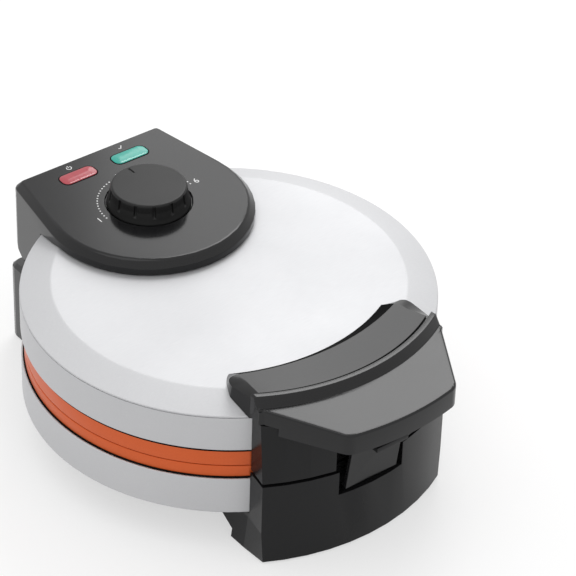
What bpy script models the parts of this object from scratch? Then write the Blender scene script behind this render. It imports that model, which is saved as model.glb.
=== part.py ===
"""Round belgian waffle maker with a hinged lid, as an assembly of separate pieces.

Metres, +Z up, +Y to the hinge at the back, -Y to the handle at the front. The
origin is on the table under the middle of the footprint. Meshes are drawn about
the upright axis of the round plates, and empties put them in place and carry
what moves.
"""
import math

import bmesh
import bpy

# Driving dimensions of the round body, from the table up
LID_RADIUS = 0.1060
RING_BOTTOM = 0.0230
RING_BAND = 0.0218
LOWER_RIM = 0.00675
UPPER_RIM = 0.01045
LID_BAND = 0.0208
LID_CROWN = 0.0051
SHOULDER_WIDE = 0.0158
PANEL_RISE = 0.0079
KNOB_RISE = 0.0102
LIP_PROUD = 0.0365
REAR_PROUD = 0.0205

# Clearances and walls
SEAT = 0.0003
PLATE_GAP = 0.0003
SWING_GAP = 0.0005
SHEET = 0.0010
WALL = 0.0022
OVERRUN = 0.0060
WELD = 0.000001

# Cooking plates
PLATE_SHY = 0.0016
PLATE_RIM = 0.0154
WAFFLE_HALF_DEPTH = 0.0130
PLATE_FLOOR = 0.0025
PLATE_DRAFT = 0.0035
PLATE_LAND = 0.0030
MOAT_DEPTH = 0.0034
MOAT_SLOPE = 0.0010
SKIRT_WALL = 0.0024
PEG_PITCH = 0.0200
PEG_FOOT = 0.0135
PEG_TOP = 0.0095
PEG_SHY = 0.0026
DIVIDER_FOOT = 0.0036
DIVIDER_TOP = 0.0020
PEG_MARGIN = 0.0035
POST_RADIUS = 0.0032

# Pressed covers of the round body
HEM = 0.0026
EDGE_ROUND = 0.0016
FLANGE_WIDE = 0.0110
PAN_DROP = 0.0030
PAN_WALL = 0.0020
PAN_LIP = 0.0080
VENT_LENGTH = 0.0220
VENT_WIDTH = 0.0030
VENT_INSET = 0.0330
VENT_COUNT = 12

# Heaters and reflectors
HEATER_RADIUS = 0.00325
HEATER_INSET = 0.0270
HEATER_TAIL = 0.0170
HEATER_OPEN_DEG = 12.0
HEATER_POINTS = 20
REFLECTOR_SHEET = 0.0007
REFLECTOR_SLOPE = 0.0120
REFLECTOR_INSET = 0.0030
REFLECTOR_DROP = 0.0078
REFLECTOR_LIP = 0.0030

# Front handle: foot below, block and lip above
HANDLE_HALF = 0.0573
BLOCK_PROUD = 0.0125
FOOT_GAP = 0.0020
SPLIT_DROP = 0.00175
FOOT_INSET = 0.0440
FOOT_HEEL = 0.0173
FOOT_HEEL_TALL = 0.0059
FOOT_HEEL_RISE = 0.0082
FOOT_WALL = 0.0025
SIDE_TAPER = 0.0026
CORNER_LEAN = 0.0040
CORNER_SPREAD = 0.0093
NOTCH_SIDE_LID = 0.0060
NOTCH_SIDE_FOOT = 0.0040
NOTCH_TALL = 0.0152
NOTCH_DEPTH = 0.0077
LIP_RISE = 0.0016
LIP_REAR_THICK = 0.0085
LIP_FRONT_THICK = 0.0068
LIP_LEAN_IN = 0.0218
LIP_CORNER_SHY = 0.0080
LIP_CORNER_ROUND = 0.0080
LIP_EAR_LONG = 0.0024
LIP_EAR_CUT = 0.0016
LIP_SKIRT_DROP = 0.0045
LIP_SKIRT_CLEAR = 0.0005
LIP_POCKET_DEEP = 0.0043
RIDGE_TALL = 0.0134
RIDGE_SHY = 0.0015
RIDGE_WIDE = 0.0025
RIDGE_SLOPE = 0.0028
RIDGE_DIP = 0.0010
SADDLE_RISE = 0.0056
SADDLE_SLOPE_SHARE = 0.11
SADDLE_DEEP = 0.0295
SADDLE_CHAMFER = 0.0035
SADDLE_END_CHAMFER = 0.0050
SADDLE_ARC = 0.1320
SADDLE_CORNER = 0.0080
SADDLE_SIDE_STEP = 0.0006
SADDLE_SHOULDER_DROP = 0.0013

# Latch in the front notch
LATCH_HALF = 0.0160
LATCH_RECESS = 0.0015
LATCH_THICK = 0.0022
LATCH_LEAN = 0.0042
LATCH_LIFT = 0.0020
LATCH_NOSE = 0.0019
LATCH_NOSE_TALL = 0.0040
LATCH_PIVOT_DROP = 0.0053
LATCH_PIVOT_INSET = 0.0041
LATCH_BOSS = 0.0028
LEDGE_DROP = 0.0190
LEDGE_THICK = 0.0029
LEDGE_HALF = 0.0097
LEDGE_PROUD = 0.0106
LATCH_PIN_RADIUS = 0.0012
LATCH_PIN_GRIP = 0.0030
SPRING_WIRE = 0.0003
SPRING_TURNS = 3
SPRING_LEG = 0.0060

# Hinge at the back
PIVOT_RISE = 0.01185
ARM_RADIUS = 0.0120
ARM_INNER = 0.0320
ARM_TOP_DROP = 0.0037
BARREL_RADIUS = 0.0075
FAIRING_REACH = 0.0110
FAIRING_RISE = 0.0065
PIN_RADIUS = 0.0030
PIN_BITE = 0.0120
REAR_CLEAR = 0.0035
REAR_HALF = 0.0520
REAR_FACE_SHY = 0.0020
REAR_INSET = 0.0300
REAR_CORNER = 0.0050
REAR_TOP_CHAMFER = 0.0020

# Control panel
KNOB_FROM_BACK = 0.0570
PANEL_RADIUS = 0.0555
PANEL_BACK_HALF = 0.0465
PANEL_CORNER = 0.0050
PANEL_CHAMFER = 0.0035
PANEL_CHAMFER_TALL = 0.0037
KNOB_CLEAR = 0.0016
KNOB_WELL_DEPTH = 0.0010
KNOB_RADIUS = 0.0213
KNOB_DRAFT = 0.0014
KNOB_ROUND = 0.0012
KNOB_SKIRT = 0.0018
KNOB_NOTCHES = 13
KNOB_NOTCH_WIDE = 0.0013
KNOB_NOTCH_DEEP = 0.0008
KNOB_NOTCH_TALL = 0.0056
POINTER_LONG = 0.0042
POINTER_WIDE = 0.0011
POINTER_DEEP = 0.0006
SHAFT_RADIUS = 0.0030
KNOB_HUB_RADIUS = 0.0060
LENS_FROM_BACK = 0.0167
LENS_X = 0.0165
LENS_LONG = 0.0194
LENS_WIDE = 0.0072
LENS_ROUND = 0.0026
LENS_PROUD = 0.0006
LENS_CROWN = 0.0008
LENS_FLANGE = 0.0016
LENS_FLANGE_THICK = 0.0012
LAMP_RADIUS = 0.0028
BOARD_THICK = 0.0016
BOARD_REST = 0.0060
BOARD_DEPTH = 0.0110
THERMOSTAT_RADIUS = 0.0110
THERMOSTAT_TALL = 0.0100
THERMOSTAT_NECK = 0.0048
COVER_HOLE = 0.0140

# Feet, screws, cord inlet
PAD_PROUD = 0.0012
PAD_RADIUS = 0.0045
PAD_THICK = 0.0030
PAD_POST = 0.0065
FRONT_PAD_SIDE = 0.0065
FRONT_PAD_INSET = 0.0200
REAR_PAD_SIDE = 0.0080
REAR_PAD_INSET = 0.0100
SCREW_RADIUS = 0.0014
SCREW_HEAD = 0.0028
SCREW_HEAD_TALL = 0.0016
SCREW_BITE = 0.0060
FOOT_SCREW_SIDE = 0.0140
FOOT_SCREW_INSET = 0.0075
HANDLE_SCREW_DEG = 20.0
HANDLE_SCREW_DROP = 0.0117
INLET_Z = 0.0200
INLET_RADIUS = 0.0065
INLET_FLANGE = 0.0020
INLET_BORE = 0.0038
INLET_LIP = 0.0014
INLET_LENGTH = 0.0090
TERMINAL_LONG = 0.0240
TERMINAL_DEEP = 0.0100
TERMINAL_TALL = 0.0120

# Facets
RIM_SEGMENTS = 56
PLATE_SEGMENTS = 44
PAN_SEGMENTS = 32
DISH_SEGMENTS = 24
KNOB_SEGMENTS = 26
SMALL_SEGMENTS = 12
SCREW_SEGMENTS = 8
ARC_STEPS = 10
PANEL_STEPS = 24
FILLET_STEPS = 3

# Radii and reaches worked out from the lid's radius
PLATEAU_RADIUS = LID_RADIUS - SHOULDER_WIDE
PLATE_RADIUS = LID_RADIUS - PLATE_SHY
WAFFLE_RADIUS = PLATE_RADIUS - PLATE_RIM
HEATER_CIRCLE = WAFFLE_RADIUS - HEATER_INSET
REFLECTOR_RADIUS = WAFFLE_RADIUS - REFLECTOR_INSET
REFLECTOR_FLAT = REFLECTOR_RADIUS - REFLECTOR_SLOPE
FLANGE_INNER = LID_RADIUS - FLANGE_WIDE
POST_CIRCLE = FLANGE_INNER + SCREW_HEAD + SEAT * 2
PAN_RADIUS = FLANGE_INNER - SEAT
VENT_CIRCLE = FLANGE_INNER - VENT_INSET
CRADLE_RADIUS = LID_RADIUS + SEAT
BLOCK_RADIUS = LID_RADIUS + BLOCK_PROUD
NOTCH_BACK = BLOCK_RADIUS - NOTCH_DEPTH
FOOT_BACK = LID_RADIUS - FOOT_INSET
FRONT_REACH = LID_RADIUS + LIP_PROUD
LIP_CORNER_Y = FRONT_REACH - LIP_CORNER_SHY
RIDGE_INNER = LID_RADIUS + RIDGE_SHY
RIDGE_OUTER = RIDGE_INNER + RIDGE_WIDE
RIDGE_FOOT = RIDGE_OUTER + RIDGE_SLOPE
SADDLE_INNER = LID_RADIUS - SADDLE_DEEP
LATCH_FRONT = BLOCK_RADIUS - LATCH_RECESS
LATCH_PIVOT_Y = BLOCK_RADIUS - LATCH_PIVOT_INSET
LEDGE_REACH = LATCH_FRONT + LATCH_LEAN + LEDGE_PROUD
REAR_REACH = LID_RADIUS + REAR_PROUD
REAR_FACE = REAR_REACH - REAR_FACE_SHY
REAR_BACK = LID_RADIUS - REAR_INSET
PIVOT_Y = REAR_REACH - ARM_RADIUS
KNOB_Y = REAR_REACH - KNOB_FROM_BACK
LENS_Y = REAR_REACH - LENS_FROM_BACK
FRONT_PAD_Y = LID_RADIUS - FRONT_PAD_INSET
REAR_PAD_Y = LID_RADIUS - REAR_PAD_INSET
FOOT_SCREW_Y = REAR_BACK + FOOT_SCREW_INSET
AXIS_Y = (FRONT_REACH - REAR_REACH) / 2

# Widths worked out from the handle, the latch, the arms and the knob
LIP_CORNER_HALF = HANDLE_HALF - LIP_LEAN_IN
FRONT_PAD_X = HANDLE_HALF - FRONT_PAD_SIDE
REAR_PAD_X = REAR_HALF - REAR_PAD_SIDE
FOOT_SCREW_X = REAR_PAD_X - FOOT_SCREW_SIDE
NOTCH_HALF_LID = LATCH_HALF + NOTCH_SIDE_LID
NOTCH_HALF_FOOT = LATCH_HALF + NOTCH_SIDE_FOOT
BOARD_HALF = ARM_INNER + BOARD_REST
KNOB_WELL_RADIUS = KNOB_RADIUS + KNOB_CLEAR
KNOB_TOP_RADIUS = KNOB_RADIUS - KNOB_DRAFT
WINDOW_LONG = LENS_LONG + 2 * SEAT
WINDOW_WIDE = LENS_WIDE + 2 * SEAT

# Heights stacked up from the table
FLANGE_TOP = RING_BOTTOM + SHEET
PAN_RIM_BOTTOM = FLANGE_TOP + SEAT
PAN_RIM_TOP = PAN_RIM_BOTTOM + PAN_WALL
PAN_BOTTOM = RING_BOTTOM - PAN_DROP
CRADLE_TOP = PAN_BOTTOM - SEAT
RING_TOP = RING_BOTTOM + RING_BAND
LOWER_FACE = RING_TOP + SEAT + LOWER_RIM
LOWER_FLOOR = LOWER_FACE - WAFFLE_HALF_DEPTH
LOWER_UNDER = LOWER_FLOOR - PLATE_FLOOR
UPPER_FACE = LOWER_FACE + PLATE_GAP
UPPER_FLOOR = UPPER_FACE + WAFFLE_HALF_DEPTH
UPPER_BACK = UPPER_FLOOR + PLATE_FLOOR
BAND_BOTTOM = UPPER_FACE + UPPER_RIM + SEAT
RIM_Z = BAND_BOTTOM + LID_BAND
PLATEAU_Z = RIM_Z + LID_CROWN
PANEL_TOP = PLATEAU_Z + PANEL_RISE
KNOB_BOTTOM = PANEL_TOP - KNOB_WELL_DEPTH + SEAT
KNOB_TOP = PANEL_TOP + KNOB_RISE
FOOT_SPLIT = LOWER_FACE - SPLIT_DROP
FOOT_TOP = FOOT_SPLIT - FOOT_GAP / 2
BLOCK_BOTTOM = FOOT_SPLIT + FOOT_GAP / 2
NOTCH_BOTTOM = FOOT_SPLIT - NOTCH_TALL
LATCH_BOTTOM = NOTCH_BOTTOM + LATCH_LIFT
LIP_BOTTOM = RIM_Z + LIP_RISE
BLOCK_TOP = LIP_BOTTOM - SEAT
LIP_REAR_Z = LIP_BOTTOM + LIP_REAR_THICK
LIP_FRONT_Z = LIP_BOTTOM + LIP_FRONT_THICK
LIP_POCKET_TOP = LIP_BOTTOM + LIP_POCKET_DEEP
LIP_SKIRT_Z = LIP_BOTTOM - LIP_SKIRT_DROP
RIDGE_TOP = LIP_BOTTOM + RIDGE_TALL
SADDLE_FRONT_Z = PLATEAU_Z + SADDLE_RISE
SADDLE_SHOULDER = PLATEAU_Z - SADDLE_SHOULDER_DROP
LATCH_PIVOT_Z = LIP_BOTTOM - LATCH_PIVOT_DROP
LEDGE_Z = LIP_BOTTOM - LEDGE_DROP
HANDLE_SCREW_Z = RIM_Z - HANDLE_SCREW_DROP
PIVOT_Z = UPPER_FACE + PIVOT_RISE
REAR_TOP = PIVOT_Z - ARM_RADIUS - REAR_CLEAR
ARM_TOP = RIM_Z - ARM_TOP_DROP
BOARD_BOTTOM = ARM_TOP + SEAT
TURN = 2 * math.pi


def clear_scene():
    """Remove every object that the file opened with."""
    for item in list(bpy.data.objects):
        bpy.data.objects.remove(item, do_unlink=True)


def paint(name, colour, roughness, metallic):
    """A Principled material with one colour."""
    made = bpy.data.materials.new(name)
    made.use_nodes = True
    shader = made.node_tree.nodes["Principled BSDF"]
    shader.inputs["Base Color"].default_value = (*colour, 1.0)
    shader.inputs["Roughness"].default_value = roughness
    shader.inputs["Metallic"].default_value = metallic
    return made


def frame_empty(name, place, parent=None):
    """An empty that carries pieces, at a place given about the plate axis."""
    made = bpy.data.objects.new(name, None)
    bpy.context.collection.objects.link(made)
    made.location = place
    made.parent = parent
    return made


def finish_mesh(mesh_name, shape, smooth=True):
    """Close a bmesh with its faces pointing out and give its mesh."""
    bmesh.ops.remove_doubles(shape, verts=shape.verts, dist=WELD)
    bmesh.ops.recalc_face_normals(shape, faces=shape.faces)
    made = bpy.data.meshes.new(mesh_name)
    shape.to_mesh(made)
    shape.free()
    if smooth:
        made.shade_smooth()
        made.set_sharp_from_angle(angle=math.radians(30))
    return made


def piece(name, shape, material, carrier):
    """A named piece drawn about the plate axis and carried by an empty."""
    made = bpy.data.objects.new(name, finish_mesh(name, shape))
    bpy.context.collection.objects.link(made)
    made.data.materials.append(material)
    ride(made, carrier)
    return made


def ride(item, carrier):
    """Hang an object on an empty and keep its mesh about the plate axis."""
    item.parent = carrier
    if carrier.parent is not None:
        item.location = [-step for step in carrier.location]


def tool(name, shape, carrier):
    """A hidden cutter, drawn and carried as the pieces are."""
    made = bpy.data.objects.new(name, finish_mesh(name, shape, smooth=False))
    bpy.context.collection.objects.link(made)
    ride(made, carrier)
    made.hide_render = True
    made.display_type = 'WIRE'
    return made


def combine(target, other, operation='DIFFERENCE'):
    """Boolean of one object by another, left live on the target."""
    step = target.modifiers.new(operation.title(), 'BOOLEAN')
    step.operation = operation
    step.object = other
    step.solver = 'EXACT'


def turned(profile, segments, centre=(0, 0), closed=True):
    """Spin a profile of (radius, height) points about an upright axis."""
    shape = bmesh.new()
    points = [shape.verts.new((radius, 0, height)) for radius, height in profile]
    edges = [shape.edges.new(pair) for pair in zip(points, points[1:])]
    if closed:
        edges.append(shape.edges.new((points[-1], points[0])))
    bmesh.ops.spin(shape, geom=points + edges, cent=(0, 0, 0), axis=(0, 0, 1),
                   angle=TURN, steps=segments, use_merge=True)
    bmesh.ops.remove_doubles(shape, verts=shape.verts, dist=WELD)
    bmesh.ops.translate(shape, verts=shape.verts, vec=(centre[0], centre[1], 0))
    return shape


def lofted(loops):
    """Join closed loops of (x, y, z) points in order and cap both ends."""
    shape = bmesh.new()
    rings = [[shape.verts.new(point) for point in loop] for loop in loops]
    count = len(rings[0])
    for lower, upper in zip(rings, rings[1:]):
        for index in range(count):
            after = (index + 1) % count
            shape.faces.new((lower[index], lower[after], upper[after], upper[index]))
    shape.faces.new(list(reversed(rings[0])))
    shape.faces.new(rings[-1])
    return shape


def at_height(outline, height):
    """Lift a plan outline to one height."""
    return [(x, y, height) for x, y in outline]


def prism(outline, bottom, top):
    """Upright prism on a plan outline."""
    return lofted([at_height(outline, bottom), at_height(outline, top)])


def side_prism(outline, left, right):
    """Prism along X on an outline of (y, z) points."""
    return lofted([[(left, y, z) for y, z in outline], [(right, y, z) for y, z in outline]])


def block(low, high):
    """Box between two corners."""
    outline = [(low[0], low[1]), (high[0], low[1]), (high[0], high[1]), (low[0], high[1])]
    return prism(outline, low[2], high[2])


def arc(centre, radius, start, end, steps):
    """Points along an arc in the plane, angles in radians."""
    return [(centre[0] + radius * math.cos(start + (end - start) * step / steps),
             centre[1] + radius * math.sin(start + (end - start) * step / steps))
            for step in range(steps + 1)]


def round_corner(before, corner, after, radius, steps=FILLET_STEPS):
    """Points of the fillet between two straight edges that meet at a corner."""
    leave = (before[0] - corner[0], before[1] - corner[1])
    enter = (after[0] - corner[0], after[1] - corner[1])
    leave_length = math.hypot(*leave)
    enter_length = math.hypot(*enter)
    first = math.atan2(leave[1], leave[0])
    second = math.atan2(enter[1], enter[0])
    opening = (second - first + math.pi) % TURN - math.pi
    reach = radius / math.tan(abs(opening) / 2)
    start = (corner[0] + leave[0] / leave_length * reach, corner[1] + leave[1] / leave_length * reach)
    end = (corner[0] + enter[0] / enter_length * reach, corner[1] + enter[1] / enter_length * reach)
    heading = first + opening / 2
    middle_reach = radius / math.sin(abs(opening) / 2)
    middle = (corner[0] + middle_reach * math.cos(heading), corner[1] + middle_reach * math.sin(heading))
    from_angle = math.atan2(start[1] - middle[1], start[0] - middle[0])
    to_angle = math.atan2(end[1] - middle[1], end[0] - middle[0])
    sweep = (to_angle - from_angle + math.pi) % TURN - math.pi
    return arc(middle, radius, from_angle, from_angle + sweep, steps)


def rod(centre, radius, left, right, segments=SMALL_SEGMENTS):
    """Round bar along X, centred on a (y, z) point."""
    loop = [(centre[0] + radius * math.cos(TURN * step / segments),
             centre[1] + radius * math.sin(TURN * step / segments)) for step in range(segments)]
    return side_prism(loop, left, right)


def disc(centre, radius, bottom, top, segments=SMALL_SEGMENTS):
    """Short upright cylinder."""
    return turned([(0, bottom), (radius, bottom), (radius, top), (0, top)],
                  segments, centre, closed=False)


def screw_bore(place, bottom, top):
    """Cutter for the clearance hole of an upright screw."""
    return disc(place, SCREW_RADIUS + SEAT, bottom, top, SCREW_SEGMENTS)


def merged(shapes):
    """Put several separate closed shapes in one bmesh, for one cutter."""
    whole = bmesh.new()
    for shape in shapes:
        carry = bpy.data.meshes.new("carry")
        bmesh.ops.recalc_face_normals(shape, faces=shape.faces)
        shape.to_mesh(carry)
        shape.free()
        whole.from_mesh(carry)
        bpy.data.meshes.remove(carry)
    return whole


def swung(shape, angle):
    """Turn a shape about the plate axis."""
    spin = [(math.cos(angle), -math.sin(angle)), (math.sin(angle), math.cos(angle))]
    for point in shape.verts:
        x, y, _ = point.co
        point.co.x = spin[0][0] * x + spin[0][1] * y
        point.co.y = spin[1][0] * x + spin[1][1] * y
    return shape


def post_places():
    """Where the four plate posts stand, on the diagonals."""
    angles = [math.pi / 4 + quarter * math.pi / 2 for quarter in range(4)]
    return [(POST_CIRCLE * math.cos(angle), POST_CIRCLE * math.sin(angle)) for angle in angles]


def front_point(radius, half_width):
    """The point of a circle about the plate axis that lies at a width, at the front."""
    return (half_width, -math.sqrt(radius * radius - half_width * half_width))


def front_arc(radius, half_width, steps=ARC_STEPS):
    """Arc about the plate axis across the front, from left to right."""
    lean = math.asin(half_width / radius)
    return arc((0, 0), radius, -math.pi / 2 - lean, -math.pi / 2 + lean, steps)


def lid_envelope(clearance):
    """Solid that keeps pieces clear of the lid's cover and of the plates below it."""
    radius = LID_RADIUS + clearance
    return turned([(0, PLATEAU_Z + clearance), (PLATEAU_RADIUS, PLATEAU_Z + clearance),
                   (radius, RIM_Z + clearance), (radius, 0), (0, 0)],
                  RIM_SEGMENTS, closed=False)


def base_envelope(clearance):
    """Solid that keeps the foot and the rear housing clear of the round base."""
    radius = LID_RADIUS + clearance
    return turned([(0, LIP_BOTTOM), (radius, LIP_BOTTOM), (radius, RING_BOTTOM - clearance),
                   (PAN_RADIUS + clearance, RING_BOTTOM - clearance),
                   (PAN_RADIUS + clearance, PAN_BOTTOM - clearance), (0, PAN_BOTTOM - clearance)],
                  RIM_SEGMENTS, closed=False)


def make_base_ring(paints, carrier):
    """Steel band of the base, hemmed at the top and flanged in at the bottom."""
    outer = LID_RADIUS
    inner = LID_RADIUS - SHEET
    profile = [(outer - HEM, RING_TOP), (outer, RING_TOP), (outer, RING_BOTTOM + EDGE_ROUND),
               (outer - EDGE_ROUND, RING_BOTTOM), (FLANGE_INNER, RING_BOTTOM),
               (FLANGE_INNER, FLANGE_TOP), (inner, FLANGE_TOP), (inner, RING_TOP - SHEET),
               (outer - HEM, RING_TOP - SHEET)]
    ring = piece("base_ring", turned(profile, RIM_SEGMENTS), paints["steel"], carrier)
    bores = [screw_bore(place, RING_BOTTOM - OVERRUN, FLANGE_TOP + OVERRUN / 2) for place in post_places()]
    combine(ring, tool("cut_ring_bores", merged(bores), carrier))


def make_base_pan(paints, carrier):
    """Moulded bottom cover: a dish through the ring's opening, with vents and screw holes."""
    inner = PAN_RADIUS - PAN_WALL
    profile = [(0, PAN_BOTTOM + PAN_WALL), (inner, PAN_BOTTOM + PAN_WALL), (inner, PAN_RIM_TOP),
               (FLANGE_INNER + PAN_LIP, PAN_RIM_TOP), (FLANGE_INNER + PAN_LIP, PAN_RIM_BOTTOM),
               (PAN_RADIUS, PAN_RIM_BOTTOM), (PAN_RADIUS, PAN_BOTTOM), (0, PAN_BOTTOM)]
    pan = piece("base_pan", turned(profile, PAN_SEGMENTS, closed=False), paints["matte"], carrier)
    low = PAN_BOTTOM - OVERRUN
    high = PAN_RIM_TOP + OVERRUN
    cuts = [swung(block((VENT_CIRCLE - VENT_LENGTH / 2, -VENT_WIDTH / 2, low),
                        (VENT_CIRCLE + VENT_LENGTH / 2, VENT_WIDTH / 2, high)),
                  TURN * (index + 1 / 2) / VENT_COUNT) for index in range(VENT_COUNT)]
    cuts += [screw_bore(place, low, high) for place in post_places() + foot_screw_places()]
    combine(pan, tool("cut_pan_openings", merged(cuts), carrier))


def plate_profile(rim_end, face, floor, back, side, moat):
    """Half section of a cooking plate; side is +1 for the lower plate, -1 for the upper."""
    wall_out = WAFFLE_RADIUS + PLATE_LAND
    moat_in = wall_out + MOAT_SLOPE
    moat_out = PLATE_RADIUS - PLATE_LAND - SKIRT_WALL
    outline = [(0, floor), (WAFFLE_RADIUS - PLATE_DRAFT, floor), (WAFFLE_RADIUS, face)]
    if moat:
        outline += [(wall_out, face), (moat_in, face - side * MOAT_DEPTH),
                    (moat_out - MOAT_SLOPE, face - side * MOAT_DEPTH), (moat_out, face)]
    outline += [(PLATE_RADIUS, face), (PLATE_RADIUS, rim_end),
                (PLATE_RADIUS - SKIRT_WALL, rim_end)]
    under = face - side * (MOAT_DEPTH + PLATE_FLOOR)
    outline += [(PLATE_RADIUS - SKIRT_WALL, under), (WAFFLE_RADIUS + PLATE_FLOOR / 2, under),
                (WAFFLE_RADIUS - PLATE_DRAFT + PLATE_FLOOR, back), (0, back)]
    return outline


def peg_places():
    """Middles of the pegs that stand wholly inside the waffle's round wall."""
    limit = WAFFLE_RADIUS - PLATE_DRAFT - PEG_MARGIN
    reach = int(limit // PEG_PITCH) + 1
    steps = [(index + 1 / 2) * PEG_PITCH for index in range(-reach, reach)]
    half = PEG_FOOT / 2
    return [(x, y) for x in steps for y in steps
            if math.hypot(abs(x) + half, abs(y) + half) < limit]


def taper(centre, foot, top, start, end):
    """Four-sided frustum; foot and top are (x, y) half sizes."""
    loops = []
    for half, height in ((foot, start), (top, end)):
        loops.append([(centre[0] + sx * half[0], centre[1] + sy * half[1], height)
                      for sx, sy in ((-1, -1), (1, -1), (1, 1), (-1, 1))])
    return lofted(loops)


def plate_grid(floor, face, side):
    """All the pegs and the cross of dividers, rooted a little inside the plate's floor."""
    root = floor - side * PLATE_FLOOR / 2
    crest = face - side * PEG_SHY
    shapes = [taper(place, (PEG_FOOT / 2, PEG_FOOT / 2), (PEG_TOP / 2, PEG_TOP / 2), root, crest)
              for place in peg_places()]
    return shapes, root, crest


def make_plate(name, rim_end, face, floor, back, side, moat, paints, carrier):
    """Cast cooking plate with its deep square grid and a cross that parts four quarters."""
    profile = plate_profile(rim_end, face, floor, back, side, moat)
    plate = piece(name, turned(profile, PLATE_SEGMENTS, closed=False), paints["copper"], carrier)
    pegs, root, crest = plate_grid(floor, face, side)
    combine(plate, tool("add_pegs_" + name, merged(pegs), carrier), 'UNION')
    reach = WAFFLE_RADIUS + PLATE_LAND / 2
    long_way = (reach, DIVIDER_FOOT / 2), (reach, DIVIDER_TOP / 2)
    cross = tool("add_divider_" + name, taper((0, 0), *long_way, root, crest), carrier)
    other = tool("add_cross_" + name, taper((0, 0), long_way[0][::-1], long_way[1][::-1],
                                            root, crest), carrier)
    combine(cross, other, 'UNION')
    combine(plate, cross, 'UNION')
    return plate


def make_lower_plate(paints, carrier):
    """Lower plate, with a moat for spilt batter and four posts that the base is screwed to."""
    plate = make_plate("lower_plate", LOWER_FACE - LOWER_RIM, LOWER_FACE, LOWER_FLOOR, LOWER_UNDER,
                       1, True, paints, carrier)
    under = LOWER_FACE - MOAT_DEPTH - PLATE_FLOOR
    foot = PAN_RIM_TOP + SEAT
    posts = [disc(place, POST_RADIUS, foot, under + PLATE_FLOOR / 2) for place in post_places()]
    combine(plate, tool("add_posts", merged(posts), carrier), 'UNION')
    bores = [screw_bore(place, foot - OVERRUN, foot + SCREW_BITE + SEAT) for place in post_places()]
    combine(plate, tool("cut_post_bores", merged(bores), carrier))


def make_upper_plate(paints, carrier):
    """Upper plate, carried inside the lid."""
    make_plate("upper_plate", UPPER_FACE + UPPER_RIM, UPPER_FACE, UPPER_FLOOR, UPPER_BACK,
               -1, False, paints, carrier)


def heater_tail_x():
    """How far from the middle the heater's two cold ends run back."""
    return HEATER_CIRCLE * math.sin(math.radians(HEATER_OPEN_DEG))


def make_heater(name, height, paints, carrier):
    """Round tube heater, an open loop with its two cold ends run out to the back."""
    gap = math.radians(HEATER_OPEN_DEG)
    start = math.pi / 2 + gap
    ring = arc((0, 0), HEATER_CIRCLE, start, start + TURN - 2 * gap, HEATER_POINTS)
    bend = HEATER_RADIUS * 2
    side = -heater_tail_x()
    tail_y = ring[0][1] + bend
    left = [(side, tail_y + HEATER_TAIL), (side, tail_y + bend / 2)]
    right = [(-x, y) for x, y in reversed(left)]
    curve = bpy.data.curves.new(name, 'CURVE')
    curve.dimensions = '3D'
    spline = curve.splines.new('POLY')
    route = left + ring[1:-1] + right
    spline.points.add(len(route) - 1)
    for point, (x, y) in zip(spline.points, route):
        point.co = (x, y, height, 1)
    curve.bevel_depth = HEATER_RADIUS
    curve.bevel_resolution = 1
    curve.use_fill_caps = True
    made = bpy.data.objects.new(name, curve)
    bpy.context.collection.objects.link(made)
    curve.materials.append(paints["heater"])
    ride(made, carrier)


def make_reflector(name, face, side, paints, carrier):
    """Pressed dish behind a plate's heater, notched for its ends; side -1 hangs below the plate."""
    far = face + side * REFLECTOR_DROP
    skin = side * REFLECTOR_SHEET
    profile = [(0, far), (REFLECTOR_FLAT, far), (REFLECTOR_RADIUS - REFLECTOR_LIP, face),
               (REFLECTOR_RADIUS, face), (REFLECTOR_RADIUS, face + skin),
               (REFLECTOR_RADIUS - REFLECTOR_LIP + REFLECTOR_SHEET, face + skin),
               (REFLECTOR_FLAT + REFLECTOR_SHEET, far + skin), (0, far + skin)]
    dish = piece(name, turned(profile, DISH_SEGMENTS, closed=False), paints["tin"], carrier)
    wide = HEATER_RADIUS + SEAT
    low, high = sorted((face + side * (HEATER_RADIUS + wide), face - side * OVERRUN))
    notches = [block((x - wide, REFLECTOR_FLAT - OVERRUN, low), (x + wide, REFLECTOR_RADIUS + OVERRUN, high))
               for x in (-heater_tail_x(), heater_tail_x())]
    combine(dish, tool("cut_notches_" + name, merged(notches), carrier))


def make_lid_cover(paints, carrier):
    """Pressed steel lid: flat top, sloping shoulder, upright band and inward hem."""
    outer = LID_RADIUS
    inner = LID_RADIUS - SHEET
    round_r = EDGE_ROUND / 2
    profile = [(0, PLATEAU_Z), (PLATEAU_RADIUS, PLATEAU_Z), (outer - round_r, RIM_Z + round_r / 2),
               (outer, RIM_Z - round_r / 2), (outer, BAND_BOTTOM), (outer - HEM, BAND_BOTTOM),
               (outer - HEM, BAND_BOTTOM + SHEET), (inner, BAND_BOTTOM + SHEET),
               (inner, RIM_Z - SHEET), (PLATEAU_RADIUS, PLATEAU_Z - SHEET), (0, PLATEAU_Z - SHEET)]
    cover = piece("lid_cover", turned(profile, RIM_SEGMENTS, closed=False), paints["steel"], carrier)
    hole = disc((0, KNOB_Y), COVER_HOLE, PLATEAU_Z - OVERRUN, PLATEAU_Z + OVERRUN)
    combine(cover, tool("cut_cover_hole", hole, carrier))
    bores = [handle_screw_shape(side, SCREW_RADIUS + SEAT, LID_RADIUS - OVERRUN, LID_RADIUS + OVERRUN)
             for side in (-1, 1)]
    combine(cover, tool("cut_cover_bores", merged(bores), carrier))


def handle_screw_shape(side, radius, start, end):
    """Round bar that runs outward through the lid's band at a handle screw."""
    heading = -math.pi / 2 + side * math.radians(HANDLE_SCREW_DEG)
    return swung(rod((0, HANDLE_SCREW_Z), radius, start, end), heading)


def foot_outline(inset, shy):
    """Plan of the front foot, its walls inset alike and its sides drawn in by a further amount."""
    half = HANDLE_HALF - inset - shy
    back = -(FOOT_BACK + inset)
    return front_arc(BLOCK_RADIUS - inset, half) + [(half, back), (-half, back)]


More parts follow.
